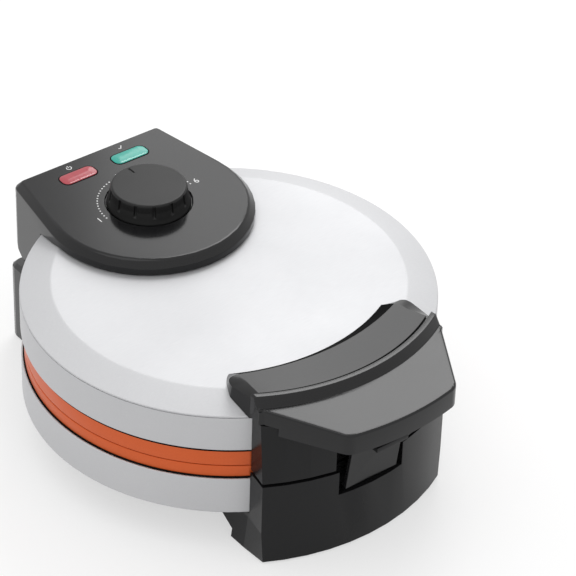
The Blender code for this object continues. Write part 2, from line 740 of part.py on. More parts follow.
def side_taper(side):
    """Cutter that draws a side of the foot in towards the round base, from nothing at the floor."""
    corner = front_point(BLOCK_RADIUS, HANDLE_HALF)[1]
    cradle = front_point(CRADLE_RADIUS, HANDLE_HALF)[1]
    ahead = OVERRUN / (cradle - corner)
    loops = []
    for height, share in ((-OVERRUN, -OVERRUN / CRADLE_TOP), (CRADLE_TOP, 1), (LIP_BOTTOM, 1)):
        drawn_in = SIDE_TAPER * share
        reach = [HANDLE_HALF + OVERRUN * 2, HANDLE_HALF + drawn_in * ahead, HANDLE_HALF - drawn_in,
                 HANDLE_HALF - drawn_in, HANDLE_HALF + OVERRUN * 2]
        along = [corner - OVERRUN, corner - OVERRUN, cradle, -FOOT_BACK + OVERRUN, -FOOT_BACK + OVERRUN]
        loops.append([(side * x, y, height) for x, y in zip(reach, along)])
    return lofted(loops)


def pad_places():
    """Where the four rubber pads stand."""
    front = [(side * FRONT_PAD_X, -FRONT_PAD_Y) for side in (-1, 1)]
    return front + [(side * REAR_PAD_X, REAR_PAD_Y) for side in (-1, 1)]


def foot_screw_places():
    """Where the foot and the rear housing are screwed up into the base pan."""
    return [(sx * FOOT_SCREW_X, sy * FOOT_SCREW_Y) for sy in (-1, 1) for sx in (-1, 1)]


def hollow(outline, top, side, name, carrier, keep):
    """Cutter for the open underside of a foot, less its pad posts and the parts to keep."""
    space = tool(name, prism(outline, -OVERRUN, top), carrier)
    keep_round = tool(name + "_round", base_envelope(SEAT + FOOT_WALL), carrier)
    combine(space, keep_round)
    posts = [disc((x, y), PAD_POST, -OVERRUN * 2, RING_BOTTOM) for x, y in pad_places() if y * side > 0]
    combine(space, tool(name + "_posts", merged(posts + keep), carrier))
    return space


def make_front_foot(paints, carrier):
    """Lower front moulding: a tall hollow foot under the handle, notched for the latch."""
    foot = piece("front_foot", prism(foot_outline(0, 0), PAD_PROUD, FOOT_TOP), paints["gloss"], carrier)
    combine(foot, tool("cut_foot_round", base_envelope(SEAT), carrier))
    keep = [block((-NOTCH_HALF_FOOT - FOOT_WALL, -FRONT_REACH, NOTCH_BOTTOM - FOOT_WALL),
                  (NOTCH_HALF_FOOT + FOOT_WALL, -CRADLE_RADIUS, FOOT_TOP + OVERRUN))]
    inside = foot_outline(FOOT_WALL, SIDE_TAPER)
    combine(foot, hollow(inside, FOOT_TOP - FOOT_WALL, -1, "cut_foot_space", carrier, keep))
    notch = block((-NOTCH_HALF_FOOT, -FRONT_REACH, NOTCH_BOTTOM),
                  (NOTCH_HALF_FOOT, -NOTCH_BACK, FOOT_TOP + OVERRUN))
    combine(foot, tool("cut_foot_notch", notch, carrier))
    for name, side in (("cut_foot_left", -1), ("cut_foot_right", 1)):
        combine(foot, tool(name, side_taper(side), carrier))
    heel = -(FOOT_BACK + FOOT_HEEL)
    under_heel = side_prism([(heel, -OVERRUN), (-FOOT_BACK + OVERRUN, -OVERRUN),
                             (-FOOT_BACK + OVERRUN, FOOT_HEEL_TALL + FOOT_HEEL_RISE),
                             (-FOOT_BACK, FOOT_HEEL_TALL + FOOT_HEEL_RISE), (heel, FOOT_HEEL_TALL)],
                            -LID_RADIUS, LID_RADIUS)
    combine(foot, tool("cut_foot_heel", under_heel, carrier))
    cut_foot_bores(foot, -1, carrier)


def cut_foot_bores(item, side, carrier):
    """Screw and pad holes in the roof and posts of a foot."""
    bores = [screw_bore((x, y), CRADLE_TOP - FOOT_WALL * 2, CRADLE_TOP + OVERRUN)
             for x, y in foot_screw_places() if y * side > 0]
    bores += [disc((x, y), PAD_RADIUS + SEAT, -OVERRUN, PAD_THICK + SEAT)
              for x, y in pad_places() if y * side > 0]
    combine(item, tool("cut_bores_" + item.name, merged(bores), carrier))


def rear_outline(inset):
    """Plan of the rear housing: straight back with round corners."""
    half = REAR_HALF - inset
    back = REAR_FACE - inset
    front = REAR_BACK + inset
    radius = REAR_CORNER - inset
    right = round_corner((half, front), (half, back), (-half, back), radius)
    left = round_corner((half, back), (-half, back), (-half, front), radius)
    return [(-half, front), (half, front)] + right + left


def barrel_profile():
    """Side view of the hinge block: front face, round top and a fairing down to the back."""
    top = arc((PIVOT_Y, PIVOT_Z), BARREL_RADIUS, math.pi, math.pi / 3, ARC_STEPS // 2)
    root = REAR_TOP - FOOT_WALL
    return ([(PIVOT_Y - BARREL_RADIUS, root)] + top
            + [(PIVOT_Y + FAIRING_REACH - WALL / 2, PIVOT_Z + FAIRING_RISE),
               (REAR_FACE, PIVOT_Z), (REAR_FACE, root)])


def make_rear_housing(paints, carrier):
    """Lower rear moulding: rear feet, cord entry and the hinge block between the lid's arms."""
    chamfered = [at_height(rear_outline(0), PAD_PROUD),
                 at_height(rear_outline(0), REAR_TOP - REAR_TOP_CHAMFER),
                 at_height(rear_outline(REAR_TOP_CHAMFER), REAR_TOP)]
    housing = piece("rear_housing", lofted(chamfered), paints["gloss"], carrier)
    combine(housing, tool("cut_rear_round", base_envelope(SEAT), carrier))
    space = hollow(rear_outline(FOOT_WALL), REAR_TOP - FOOT_WALL * 2, 1, "cut_rear_space", carrier, [])
    combine(housing, space)
    half = ARM_INNER - SWING_GAP
    barrel = side_prism(barrel_profile(), -half, half)
    combine(housing, tool("add_hinge_block", barrel, carrier), 'UNION')
    bore = rod((PIVOT_Y, PIVOT_Z), PIN_RADIUS + SEAT, -REAR_HALF, REAR_HALF)
    combine(housing, tool("cut_block_bore", bore, carrier))
    inlet = y_rod((0, INLET_Z), INLET_RADIUS + SEAT, REAR_FACE - FOOT_WALL - OVERRUN, REAR_FACE + OVERRUN)
    combine(housing, tool("cut_inlet", inlet, carrier))
    cut_foot_bores(housing, 1, carrier)


def y_rod(centre, radius, front, back, segments=SMALL_SEGMENTS):
    """Round bar along Y, centred on an (x, z) point."""
    loops = []
    for y in (front, back):
        loops.append([(centre[0] + radius * math.cos(TURN * step / segments), y,
                       centre[1] + radius * math.sin(TURN * step / segments))
                      for step in range(segments)])
    return lofted(loops)


def make_cord_gland(paints, carrier):
    """Flanged bush in the rear wall that the supply lead enters by."""
    inside = REAR_FACE - INLET_LENGTH
    gland = piece("cord_gland", y_rod((0, INLET_Z), INLET_RADIUS, inside, REAR_FACE + SEAT * 2),
                  paints["rubber"], carrier)
    flange = y_rod((0, INLET_Z), INLET_RADIUS + INLET_FLANGE, REAR_FACE + SEAT, REAR_FACE + INLET_LIP)
    combine(gland, tool("add_gland_flange", flange, carrier), 'UNION')
    bore = y_rod((0, INLET_Z), INLET_BORE, inside - OVERRUN, REAR_FACE + OVERRUN)
    combine(gland, tool("cut_gland_bore", bore, carrier))


def make_terminal_block(paints, carrier):
    """Ceramic block under the rear housing's roof, where the supply lead is joined."""
    top = REAR_TOP - FOOT_WALL * 2 - SEAT
    back = REAR_FACE - FOOT_WALL - SEAT
    low = (-TERMINAL_LONG / 2, back - TERMINAL_DEEP, top - TERMINAL_TALL)
    body = piece("terminal_block", block(low, (TERMINAL_LONG / 2, back, top)), paints["ceramic"], carrier)
    third = TERMINAL_LONG / 3
    wells = [disc((step * third, back - TERMINAL_DEEP / 2), SCREW_HEAD, low[2] - OVERRUN,
                  low[2] + TERMINAL_TALL / 2) for step in (-1, 0, 1)]
    combine(body, tool("cut_terminal_wells", merged(wells), carrier))


def make_hinge_pin(paints, carrier):
    """Steel pin through the hinge block and into both arms of the lid."""
    half = ARM_INNER + PIN_BITE
    piece("hinge_pin", rod((PIVOT_Y, PIVOT_Z), PIN_RADIUS, -half, half), paints["pin"], carrier)


def make_pads(paints, carrier):
    """Four rubber pads under the feet."""
    names = ("pad_front_left", "pad_front_right", "pad_rear_left", "pad_rear_right")
    for name, place in zip(names, pad_places()):
        piece(name, disc(place, PAD_RADIUS, 0, PAD_THICK), paints["rubber"], carrier)


def screw(head_z, tip_z):
    """Profile of a pan-head screw driven upward from head_z to tip_z."""
    seat = head_z + SCREW_HEAD_TALL
    return [(0, head_z), (SCREW_HEAD - SCREW_HEAD_TALL / 2, head_z), (SCREW_HEAD, seat),
            (SCREW_RADIUS, seat), (SCREW_RADIUS, tip_z - SCREW_RADIUS), (0, tip_z)]


def make_screws(paints, carrier):
    """Screws that clamp the ring and pan to the plate, and the feet to the pan."""
    tip = PAN_RIM_TOP + SEAT + SCREW_BITE
    head = RING_BOTTOM - SEAT - SCREW_HEAD_TALL
    for index, place in enumerate(post_places(), 1):
        shape = turned(screw(head, tip), SCREW_SEGMENTS, place, closed=False)
        piece("base_screw_%d" % index, shape, paints["pin"], carrier)
    head = CRADLE_TOP - FOOT_WALL - SEAT - SCREW_HEAD_TALL
    for index, place in enumerate(foot_screw_places(), 1):
        shape = turned(screw(head, PAN_BOTTOM + SCREW_BITE), SCREW_SEGMENTS, place, closed=False)
        piece("foot_screw_%d" % index, shape, paints["pin"], carrier)


def side_lean():
    """Angle by which the panel's sides lean in towards the back."""
    across = math.atan2(REAR_REACH - KNOB_Y, PANEL_BACK_HALF)
    reach = math.hypot(REAR_REACH - KNOB_Y, PANEL_BACK_HALF)
    return across - math.acos(PANEL_RADIUS / reach)


def panel_outline(inset):
    """Plan of the panel: a round front about the knob, sides that lean in, a straight back."""
    lean = side_lean()
    radius = PANEL_RADIUS - inset
    back = REAR_REACH - inset
    half = (radius - (back - KNOB_Y) * math.sin(lean)) / math.cos(lean)
    front = arc((0, KNOB_Y), radius, math.pi - lean, TURN + lean, PANEL_STEPS)
    right = round_corner(front[-1], (half, back), (-half, back), PANEL_CORNER - inset)
    left = round_corner((half, back), (-half, back), front[0], PANEL_CORNER - inset)
    return front + right + left


def bar_outline(centre, long_way, wide, radius):
    """Plan of a bar with rounded corners."""
    half = (long_way / 2, wide / 2)
    corners = [(centre[0] + sx * half[0], centre[1] + sy * half[1])
               for sx, sy in ((-1, -1), (1, -1), (1, 1), (-1, 1))]
    outline = []
    for index, corner in enumerate(corners):
        outline += round_corner(corners[index - 1], corner, corners[(index + 1) % 4], radius)
    return outline


def make_control_housing(paints, carrier):
    """One moulding: the control panel on the lid, its skirt and the two hinge arms behind it."""
    bottom = PIVOT_Z - ARM_RADIUS
    loops = [at_height(panel_outline(0), bottom), at_height(panel_outline(0), PANEL_TOP - PANEL_CHAMFER_TALL),
             at_height(panel_outline(PANEL_CHAMFER), PANEL_TOP)]
    housing = piece("control_housing", lofted(loops), paints["gloss"], carrier)
    combine(housing, tool("cut_panel_round", lid_envelope(SEAT), carrier))
    space = prism(panel_outline(WALL), ARM_TOP, PANEL_TOP - WALL)
    combine(housing, tool("cut_panel_space", space, carrier))
    gap = block((-ARM_INNER, KNOB_Y, bottom - OVERRUN), (ARM_INNER, REAR_REACH + OVERRUN, ARM_TOP))
    combine(housing, tool("cut_arm_gap", gap, carrier))
    heel = arc((PIVOT_Y, PIVOT_Z), ARM_RADIUS, -math.pi / 2, 0, ARC_STEPS // 2)
    heel += [(REAR_REACH + OVERRUN, PIVOT_Z), (REAR_REACH + OVERRUN, bottom - OVERRUN),
             (PIVOT_Y, bottom - OVERRUN)]
    combine(housing, tool("cut_arm_heel", side_prism(heel, -LID_RADIUS, LID_RADIUS), carrier))
    reach = ARM_INNER + PIN_BITE + SEAT
    bore = rod((PIVOT_Y, PIVOT_Z), PIN_RADIUS + SEAT, -reach, reach)
    combine(housing, tool("cut_arm_bore", bore, carrier))
    openings = [prism(bar_outline((side * LENS_X, LENS_Y), WINDOW_LONG, WINDOW_WIDE, LENS_ROUND + SEAT),
                      PANEL_TOP - WALL * 2, PANEL_TOP + OVERRUN) for side in (-1, 1)]
    openings.append(disc((0, KNOB_Y), KNOB_WELL_RADIUS, PANEL_TOP - KNOB_WELL_DEPTH,
                         PANEL_TOP + OVERRUN, KNOB_SEGMENTS))
    combine(housing, tool("cut_panel_openings", merged(openings), carrier))
    shaft_hole = disc((0, KNOB_Y), SHAFT_RADIUS + SEAT * 2, PANEL_TOP - WALL * 2, PANEL_TOP + OVERRUN)
    combine(housing, tool("cut_shaft_hole", shaft_hole, carrier))


def make_lens(name, side, material, carrier):
    """Coloured lens with a low crown, held by a flange under the panel."""
    place = (side * LENS_X, LENS_Y)
    flange_top = PANEL_TOP - WALL - SEAT
    wide = LENS_FLANGE * 2
    loops = [at_height(bar_outline(place, LENS_LONG + wide, LENS_WIDE + wide, LENS_ROUND), z)
             for z in (flange_top - LENS_FLANGE_THICK, flange_top)]
    body = bar_outline(place, LENS_LONG, LENS_WIDE, LENS_ROUND)
    crown = bar_outline(place, LENS_LONG - LENS_CROWN * 2, LENS_WIDE - LENS_CROWN * 2,
                        LENS_ROUND - LENS_CROWN)
    top = PANEL_TOP + LENS_PROUD
    loops += [at_height(body, flange_top), at_height(body, top - LENS_CROWN / 2), at_height(crown, top)]
    piece(name, lofted(loops), material, carrier)


def make_lamps(paints, carrier):
    """Two small lamps standing on a board that rests on the arms."""
    low = (-BOARD_HALF, LENS_Y - BOARD_DEPTH / 4, BOARD_BOTTOM)
    high = (BOARD_HALF, LENS_Y + BOARD_DEPTH * 3 / 4, BOARD_BOTTOM + BOARD_THICK)
    piece("lamp_board", block(low, high), paints["board"], carrier)
    foot = high[2] + SEAT
    tip = PANEL_TOP - WALL - LENS_FLANGE_THICK - SEAT * 2
    for name, side in (("power_lamp", -1), ("ready_lamp", 1)):
        neck = tip - LAMP_RADIUS
        dome = [(radius, neck + rise) for radius, rise in arc((0, 0), LAMP_RADIUS, 0, math.pi / 3, 2)]
        profile = [(0, foot), (LAMP_RADIUS, foot)] + dome + [(0, tip)]
        centre = (side * LENS_X, LENS_Y)
        piece(name, turned(profile, SCREW_SEGMENTS, centre, closed=False), paints["glass"], carrier)


def make_thermostat(paints, carrier):
    """Thermostat under the knob: a drum on the reflector with a threaded neck."""
    low = UPPER_BACK + SEAT + REFLECTOR_DROP + REFLECTOR_SHEET + SEAT
    drum_top = low + THERMOSTAT_TALL
    neck_top = PANEL_TOP - WALL - SEAT
    bore = SHAFT_RADIUS + SEAT
    profile = [(0, low + WALL), (bore, low + WALL), (bore, neck_top), (THERMOSTAT_NECK, neck_top),
               (THERMOSTAT_NECK, drum_top), (THERMOSTAT_RADIUS, drum_top), (THERMOSTAT_RADIUS, low),
               (0, low)]
    piece("thermostat", turned(profile, SMALL_SEGMENTS, (0, KNOB_Y), closed=False),
          paints["tin"], carrier)


def make_knob(paints, carrier):
    """Round knob with finger notches round its side and a pointer notch in its top."""
    skirt_in = KNOB_RADIUS - KNOB_SKIRT
    roof = KNOB_TOP - KNOB_SKIRT
    bore_top = roof
    hub = KNOB_HUB_RADIUS
    bore = SHAFT_RADIUS + SEAT
    profile = [(0, KNOB_TOP), (KNOB_TOP_RADIUS - KNOB_ROUND, KNOB_TOP),
               (KNOB_TOP_RADIUS - KNOB_ROUND / 3, KNOB_TOP - KNOB_ROUND / 3),
               (KNOB_TOP_RADIUS, KNOB_TOP - KNOB_ROUND), (KNOB_RADIUS, KNOB_BOTTOM),
               (skirt_in, KNOB_BOTTOM), (skirt_in - KNOB_SKIRT / 2, roof), (hub, roof),
               (hub, KNOB_BOTTOM), (bore, KNOB_BOTTOM), (bore, bore_top), (0, bore_top)]
    knob = piece("temperature_knob", turned(profile, KNOB_SEGMENTS, (0, KNOB_Y), closed=False),
                 paints["knob"], carrier)
    cuts = []
    for index in range(KNOB_NOTCHES):
        notch = block((KNOB_TOP_RADIUS - KNOB_NOTCH_DEEP, -KNOB_NOTCH_WIDE / 2,
                       KNOB_TOP - KNOB_ROUND - KNOB_NOTCH_TALL),
                      (KNOB_RADIUS + OVERRUN, KNOB_NOTCH_WIDE / 2, KNOB_TOP - KNOB_ROUND))
        swung(notch, math.pi / 2 + TURN * (index + 1 / 2) / KNOB_NOTCHES)
        bmesh.ops.translate(notch, verts=notch.verts, vec=(0, KNOB_Y, 0))
        cuts.append(notch)
    rim = KNOB_Y + KNOB_TOP_RADIUS - KNOB_ROUND
    pointer = block((-POINTER_WIDE / 2, rim - POINTER_LONG, KNOB_TOP - POINTER_DEEP),
                    (POINTER_WIDE / 2, rim - POINTER_WIDE, KNOB_TOP + OVERRUN))
    cuts.append(pointer)
    combine(knob, tool("cut_knob_notches", merged(cuts), carrier))


def make_knob_shaft(paints, carrier):
    """Steel shaft from the thermostat up into the knob's hub."""
    low = UPPER_BACK + SEAT + REFLECTOR_DROP + REFLECTOR_SHEET + SEAT + WALL + SEAT
    top = KNOB_TOP - KNOB_SKIRT - SEAT
    piece("knob_shaft", disc((0, KNOB_Y), SHAFT_RADIUS, low, top), paints["pin"], carrier)


def block_outline(inset, shy):
    """Plan of the upper front block, behind the same round front as the foot and drawn in at the lid."""
    half = HANDLE_HALF - shy
    outer = front_arc(BLOCK_RADIUS - inset, half)
    inner = front_arc(CRADLE_RADIUS + inset, half - SIDE_TAPER)
    return outer + list(reversed(inner))


def corner_slope(side):
    """Cutter that leans a front corner of the block back towards its top."""
    corner = front_point(BLOCK_RADIUS, HANDLE_HALF)
    back = (HANDLE_HALF, corner[1] + CORNER_LEAN)
    across = front_point(BLOCK_RADIUS, HANDLE_HALF - CORNER_SPREAD)
    run = (across[0] - back[0], across[1] - back[1])
    out = (-run[1] / 2, run[0] / 2)
    start = BLOCK_BOTTOM - OVERRUN / 2
    loops = []
    for height in (start - OVERRUN, BLOCK_TOP + OVERRUN):
        share = (height - start) / (BLOCK_TOP - start)
        edge = (HANDLE_HALF, corner[1] + CORNER_LEAN * share)
        near = (edge[0] - run[0], edge[1] - run[1])
        far = (edge[0] + run[0] * 2, edge[1] + run[1] * 2)
        outline = [near, far, (far[0] + out[0], far[1] + out[1]), (near[0] + out[0], near[1] + out[1])]
        loops.append([(side * x, y, height) for x, y in outline])
    return lofted(loops)


def make_handle_block(paints, carrier):
    """Upper front moulding under the lip: hollow below, with the latch's slot in its middle."""
    whole = prism(block_outline(0, 0), BLOCK_BOTTOM, BLOCK_TOP)
    body = piece("handle_block", whole, paints["gloss"], carrier)
    inside = block_outline(FOOT_WALL, CORNER_SPREAD + FOOT_WALL)
    space = tool("cut_block_space", prism(inside, BLOCK_BOTTOM - OVERRUN, BLOCK_TOP - FOOT_WALL), carrier)
    half = NOTCH_HALF_LID + FOOT_WALL
    keep = block((-half, -FRONT_REACH, 0), (half, 0, BLOCK_TOP + OVERRUN))
    bosses = [handle_screw_shape(side, SCREW_HEAD + SEAT, CRADLE_RADIUS - OVERRUN, BLOCK_RADIUS)
              for side in (-1, 1)]
    combine(space, tool("keep_block_middle", merged([keep] + bosses), carrier))
    combine(body, space)
    slot = block((-NOTCH_HALF_LID, -FRONT_REACH, 0), (NOTCH_HALF_LID, -NOTCH_BACK, BLOCK_TOP + OVERRUN))
    combine(body, tool("cut_block_slot", slot, carrier))
    combine(body, tool("cut_block_corners", merged([corner_slope(-1), corner_slope(1)]), carrier))
    pin_half = NOTCH_HALF_LID + LATCH_PIN_GRIP
    bore = rod((-LATCH_PIVOT_Y, LATCH_PIVOT_Z), LATCH_PIN_RADIUS + SEAT, -pin_half, pin_half)
    combine(body, tool("cut_block_pin", bore, carrier))
    bores = [handle_screw_shape(side, SCREW_RADIUS + SEAT, LID_RADIUS - OVERRUN,
                                CRADLE_RADIUS + SCREW_BITE + SEAT) for side in (-1, 1)]
    combine(body, tool("cut_block_screws", merged(bores), carrier))


def saddle_loop(chamfer, end_chamfer, height):
    """One level of the saddle: an inner arc, rounded ends and an outer arc along the lid's rim."""
    half = HANDLE_HALF - SADDLE_SIDE_STEP - end_chamfer
    centre = (0, SADDLE_ARC - SADDLE_INNER - chamfer)
    lean = math.asin(half / SADDLE_ARC)
    inner = arc(centre, SADDLE_ARC, -math.pi / 2 + lean, -math.pi / 2 - lean, ARC_STEPS)
    outer = front_arc(LID_RADIUS, half)
    right = round_corner(outer[-1], inner[0], inner[1], SADDLE_CORNER)
    left = round_corner(inner[-2], inner[-1], outer[0], SADDLE_CORNER)
    outline = outer + right + inner[1:-1] + left
    if height is not None:
        return at_height(outline, height)
    rise = SADDLE_SLOPE_SHARE
    return [(x, y, SADDLE_FRONT_Z + rise * (-y - SADDLE_INNER)) for x, y in outline]


def lip_side(inset):
    """Lean of the lip's sides, and how far from the plate axis they pass."""
    foot_y = front_point(RIDGE_FOOT, HANDLE_HALF)[1]
    lean = math.atan2(HANDLE_HALF - LIP_CORNER_HALF, LIP_CORNER_Y + foot_y)
    return lean, HANDLE_HALF * math.cos(lean) - foot_y * math.sin(lean) - inset


def lip_meets(inset, radius):
    """Where the lip's right side crosses a circle about the plate axis."""
    lean, reach = lip_side(inset)
    along = math.sqrt(radius * radius - reach * reach)
    return (reach * math.cos(lean) - along * math.sin(lean),
            -reach * math.sin(lean) - along * math.cos(lean))


def lip_ear():
    """The ridge's short straight end on the right, and the step from it in to the leaning side."""
    lean, reach = lip_side(0)
    ear_y = front_point(RIDGE_FOOT, HANDLE_HALF)[1] - LIP_EAR_LONG
    root_y = ear_y - LIP_EAR_CUT
    return [((reach + root_y * math.sin(lean)) / math.cos(lean), root_y), (HANDLE_HALF, ear_y)]


def lip_outline(inset, rear, roots):
    """Plan of the lip: round front and corners, leaning sides back to their roots, a rear arc."""
    radius = FRONT_REACH - inset
    corner = lip_meets(inset, radius)
    front = front_arc(radius, corner[0])
    right = round_corner(front[-2], corner, roots[0], LIP_CORNER_ROUND - inset) + roots
    left = [(-x, y) for x, y in reversed(right)]
    return front[2:-2] + right + list(reversed(front_arc(rear, roots[-1][0]))) + left


def make_lid_handle(paints, carrier):
    """Handle moulding on the lid: a saddle on the steel, a curved ridge and a broad lip with a skirt."""
    floor = RIM_Z - OVERRUN
    loops = [saddle_loop(0, 0, floor), saddle_loop(0, 0, SADDLE_SHOULDER),
             saddle_loop(SADDLE_CHAMFER, SADDLE_END_CHAMFER, None)]
    handle = piece("lid_handle", lofted(loops), paints["gloss"], carrier)
    skirt_in = BLOCK_RADIUS + LIP_SKIRT_CLEAR
    inner = LID_RADIUS - WALL
    body = [(inner, LIP_BOTTOM), (inner, RIDGE_TOP - RIDGE_DIP), (RIDGE_INNER, RIDGE_TOP),
            (RIDGE_OUTER, RIDGE_TOP), (RIDGE_FOOT, LIP_REAR_Z), (FRONT_REACH + OVERRUN, LIP_FRONT_Z),
            (FRONT_REACH + OVERRUN, LIP_SKIRT_Z), (skirt_in, LIP_SKIRT_Z), (skirt_in, LIP_BOTTOM)]
    ridge = tool("add_ridge_and_lip", turned(body, RIM_SEGMENTS), carrier)
    plan = prism(lip_outline(0, LID_RADIUS - WALL / 2, lip_ear()), floor, RIDGE_TOP + OVERRUN)
    combine(ridge, tool("keep_lip_plan", plan, carrier), 'INTERSECT')
    combine(handle, ridge, 'UNION')
    pocket_back = BLOCK_RADIUS - WALL
    inside = lip_outline(WALL, pocket_back, [lip_meets(WALL, pocket_back)])
    pocket = prism(inside, LIP_SKIRT_Z - OVERRUN, LIP_POCKET_TOP)
    combine(handle, tool("cut_lip_pocket", pocket, carrier))
    combine(handle, tool("cut_handle_round", lid_envelope(SEAT), carrier))


def make_handle_screws(paints, carrier):
    """Two screws from inside the lid's band into the front block."""
    for name, side in (("handle_screw_left", -1), ("handle_screw_right", 1)):
        inner = LID_RADIUS - SHEET - SEAT
        tip = CRADLE_RADIUS + SCREW_BITE
        shape = handle_screw_shape(side, SCREW_RADIUS, inner - SCREW_HEAD_TALL / 2, tip)
        body = piece(name, shape, paints["pin"], carrier)
        head = handle_screw_shape(side, SCREW_HEAD, inner - SCREW_HEAD_TALL, inner)
        combine(body, tool("add_head_" + name, head, carrier), 'UNION')


def make_latch(paints, carrier):
    """Latch: a leaning tab down into the foot, a finger ledge on its front and a boss on its pin."""
    bottom = -LATCH_FRONT
    ledge = bottom - LATCH_LEAN
    nose_top = LATCH_BOTTOM + LATCH_NOSE_TALL
    nose_root = bottom + LATCH_THICK - LATCH_LEAN * LATCH_NOSE_TALL / (LEDGE_Z - LATCH_BOTTOM)
    boss = arc((-LATCH_PIVOT_Y, LATCH_PIVOT_Z), LATCH_BOSS, -math.pi / 3, math.pi * 5 / 6, ARC_STEPS)
    profile = [(bottom, LATCH_BOTTOM), (bottom + LATCH_THICK, LATCH_BOTTOM),
               (bottom + LATCH_THICK + LATCH_NOSE, LATCH_BOTTOM + LATCH_NOSE_TALL / 2),
               (nose_root, nose_top), (ledge + LATCH_THICK, LEDGE_Z)] + boss
    profile += [(ledge, LEDGE_Z + LEDGE_THICK), (ledge, LEDGE_Z)]
    body = piece("latch", side_prism(profile, -LATCH_HALF, LATCH_HALF), paints["gloss"], carrier)
    root = ledge + LATCH_THICK / 2
    shelf = side_prism([(root, LEDGE_Z), (-LEDGE_REACH, LEDGE_Z), (-LEDGE_REACH, LEDGE_Z + LEDGE_THICK),
                        (root, LEDGE_Z + LEDGE_THICK)], -LEDGE_HALF, LEDGE_HALF)
    combine(body, tool("add_latch_ledge", shelf, carrier), 'UNION')
    bore = rod((-LATCH_PIVOT_Y, LATCH_PIVOT_Z), LATCH_PIN_RADIUS + SEAT, -LID_RADIUS, LID_RADIUS)
    combine(body, tool("cut_latch_bore", bore, carrier))


def make_latch_pin(paints, carrier):
    """Pin that the latch swings on, held by both sides of the slot."""
    half = NOTCH_HALF_LID + LATCH_PIN_GRIP - SEAT
    piece("latch_pin", rod((-LATCH_PIVOT_Y, LATCH_PIVOT_Z), LATCH_PIN_RADIUS, -half, half),
          paints["pin"], carrier)


def make_latch_spring(paints, carrier):
    """Torsion spring round the pin beside the latch, with a leg down behind the tab."""
    radius = LATCH_PIN_RADIUS + SEAT + SPRING_WIRE
    pitch = SPRING_WIRE * 3
    start = LATCH_HALF + SEAT + SPRING_WIRE
    per_turn = ARC_STEPS
    count = SPRING_TURNS * per_turn
    route = [(start + pitch * step / per_turn,
              -LATCH_PIVOT_Y + radius * math.cos(TURN * step / per_turn),
              LATCH_PIVOT_Z + radius * math.sin(TURN * step / per_turn)) for step in range(count + 1)]
    end = route[-1]
    route.append((end[0], end[1], end[2] - SPRING_LEG))
    curve = bpy.data.curves.new("latch_spring", 'CURVE')
    curve.dimensions = '3D'
    spline = curve.splines.new('POLY')
    spline.points.add(len(route) - 1)
    for point, place in zip(spline.points, route):
        point.co = (*place, 1)
    curve.bevel_depth = SPRING_WIRE
    curve.bevel_resolution = 0
    curve.use_fill_caps = True
    made = bpy.data.objects.new("latch_spring", curve)
    bpy.context.collection.objects.link(made)
    curve.materials.append(paints["pin"])
    ride(made, carrier)


def make_paints():
    """The finishes, by name."""
    return {
        "steel": paint("satin_steel", (0.78, 0.78, 0.79), 0.32, 0.9),
        "copper": paint("copper_coat", (0.62, 0.19, 0.05), 0.42, 0.5),
        "gloss": paint("gloss_black", (0.03, 0.03, 0.032), 0.2, 0.0),
        "matte": paint("matte_black", (0.03, 0.03, 0.03), 0.6, 0.0),
        "knob": paint("knob_black", (0.02, 0.02, 0.02), 0.45, 0.0),
        "red": paint("red_lens", (0.5, 0.05, 0.07), 0.15, 0.0),
        "green": paint("green_lens", (0.01, 0.42, 0.3), 0.15, 0.0),
        "heater": paint("heater_tube", (0.25, 0.24, 0.23), 0.5, 0.9),
        "tin": paint("plated_sheet", (0.6, 0.6, 0.6), 0.35, 0.9),
        "pin": paint("pin_steel", (0.5, 0.5, 0.5), 0.3, 1.0),
        "rubber": paint("rubber", (0.02, 0.02, 0.02), 0.8, 0.0),
        "ceramic": paint("ceramic", (0.8, 0.78, 0.72), 0.5, 0.0),
        "board": paint("board", (0.1, 0.25, 0.1), 0.6, 0.0),
        "glass": paint("lamp_glass", (0.8, 0.5, 0.3), 0.1, 0.0),
    }


def build():
    """Make every piece on its carrier."""
    clear_scene()
    paints = make_paints()
    base = frame_empty("appliance", (0, AXIS_Y, 0))
    lid = frame_empty("lid_pivot", (0, PIVOT_Y, PIVOT_Z), base)
    knob = frame_empty("knob_pivot", (0, KNOB_Y, KNOB_TOP), base)
    latch = frame_empty("latch_pivot", (0, -LATCH_PIVOT_Y, LATCH_PIVOT_Z), base)

    make_base_ring(paints, base)
    make_base_pan(paints, base)
    make_front_foot(paints, base)
    make_rear_housing(paints, base)
    make_cord_gland(paints, base)
    make_terminal_block(paints, base)
    make_hinge_pin(paints, base)
    make_lower_plate(paints, base)
    make_heater("lower_heater", LOWER_UNDER - SEAT - HEATER_RADIUS, paints, base)
    make_reflector("lower_reflector", LOWER_UNDER - SEAT, -1, paints, base)
    make_pads(paints, base)
    make_screws(paints, base)

    make_lid_cover(paints, lid)
    make_upper_plate(paints, lid)
    make_heater("upper_heater", UPPER_BACK + SEAT + HEATER_RADIUS, paints, lid)
    make_reflector("upper_reflector", UPPER_BACK + SEAT, 1, paints, lid)
    make_control_housing(paints, lid)
    make_lens("power_lens", -1, paints["red"], lid)
    make_lens("ready_lens", 1, paints["green"], lid)
    make_lamps(paints, lid)
    make_thermostat(paints, lid)
    make_lid_handle(paints, lid)
    make_handle_block(paints, lid)
    make_handle_screws(paints, lid)
    make_latch_pin(paints, lid)

    make_knob(paints, knob)
    make_knob_shaft(paints, knob)
    make_latch(paints, latch)
    make_latch_spring(paints, latch)


build()
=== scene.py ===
"""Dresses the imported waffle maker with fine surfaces, finishes, studio light and a camera.

The scene is in metres in the model's own frame. Shapes are worked out in millimetres about the upright
axis of the round plates, which stands AXIS_Y behind the origin.
"""
import math

import bmesh
import bpy
import numpy as np
from mathutils import Matrix, Vector


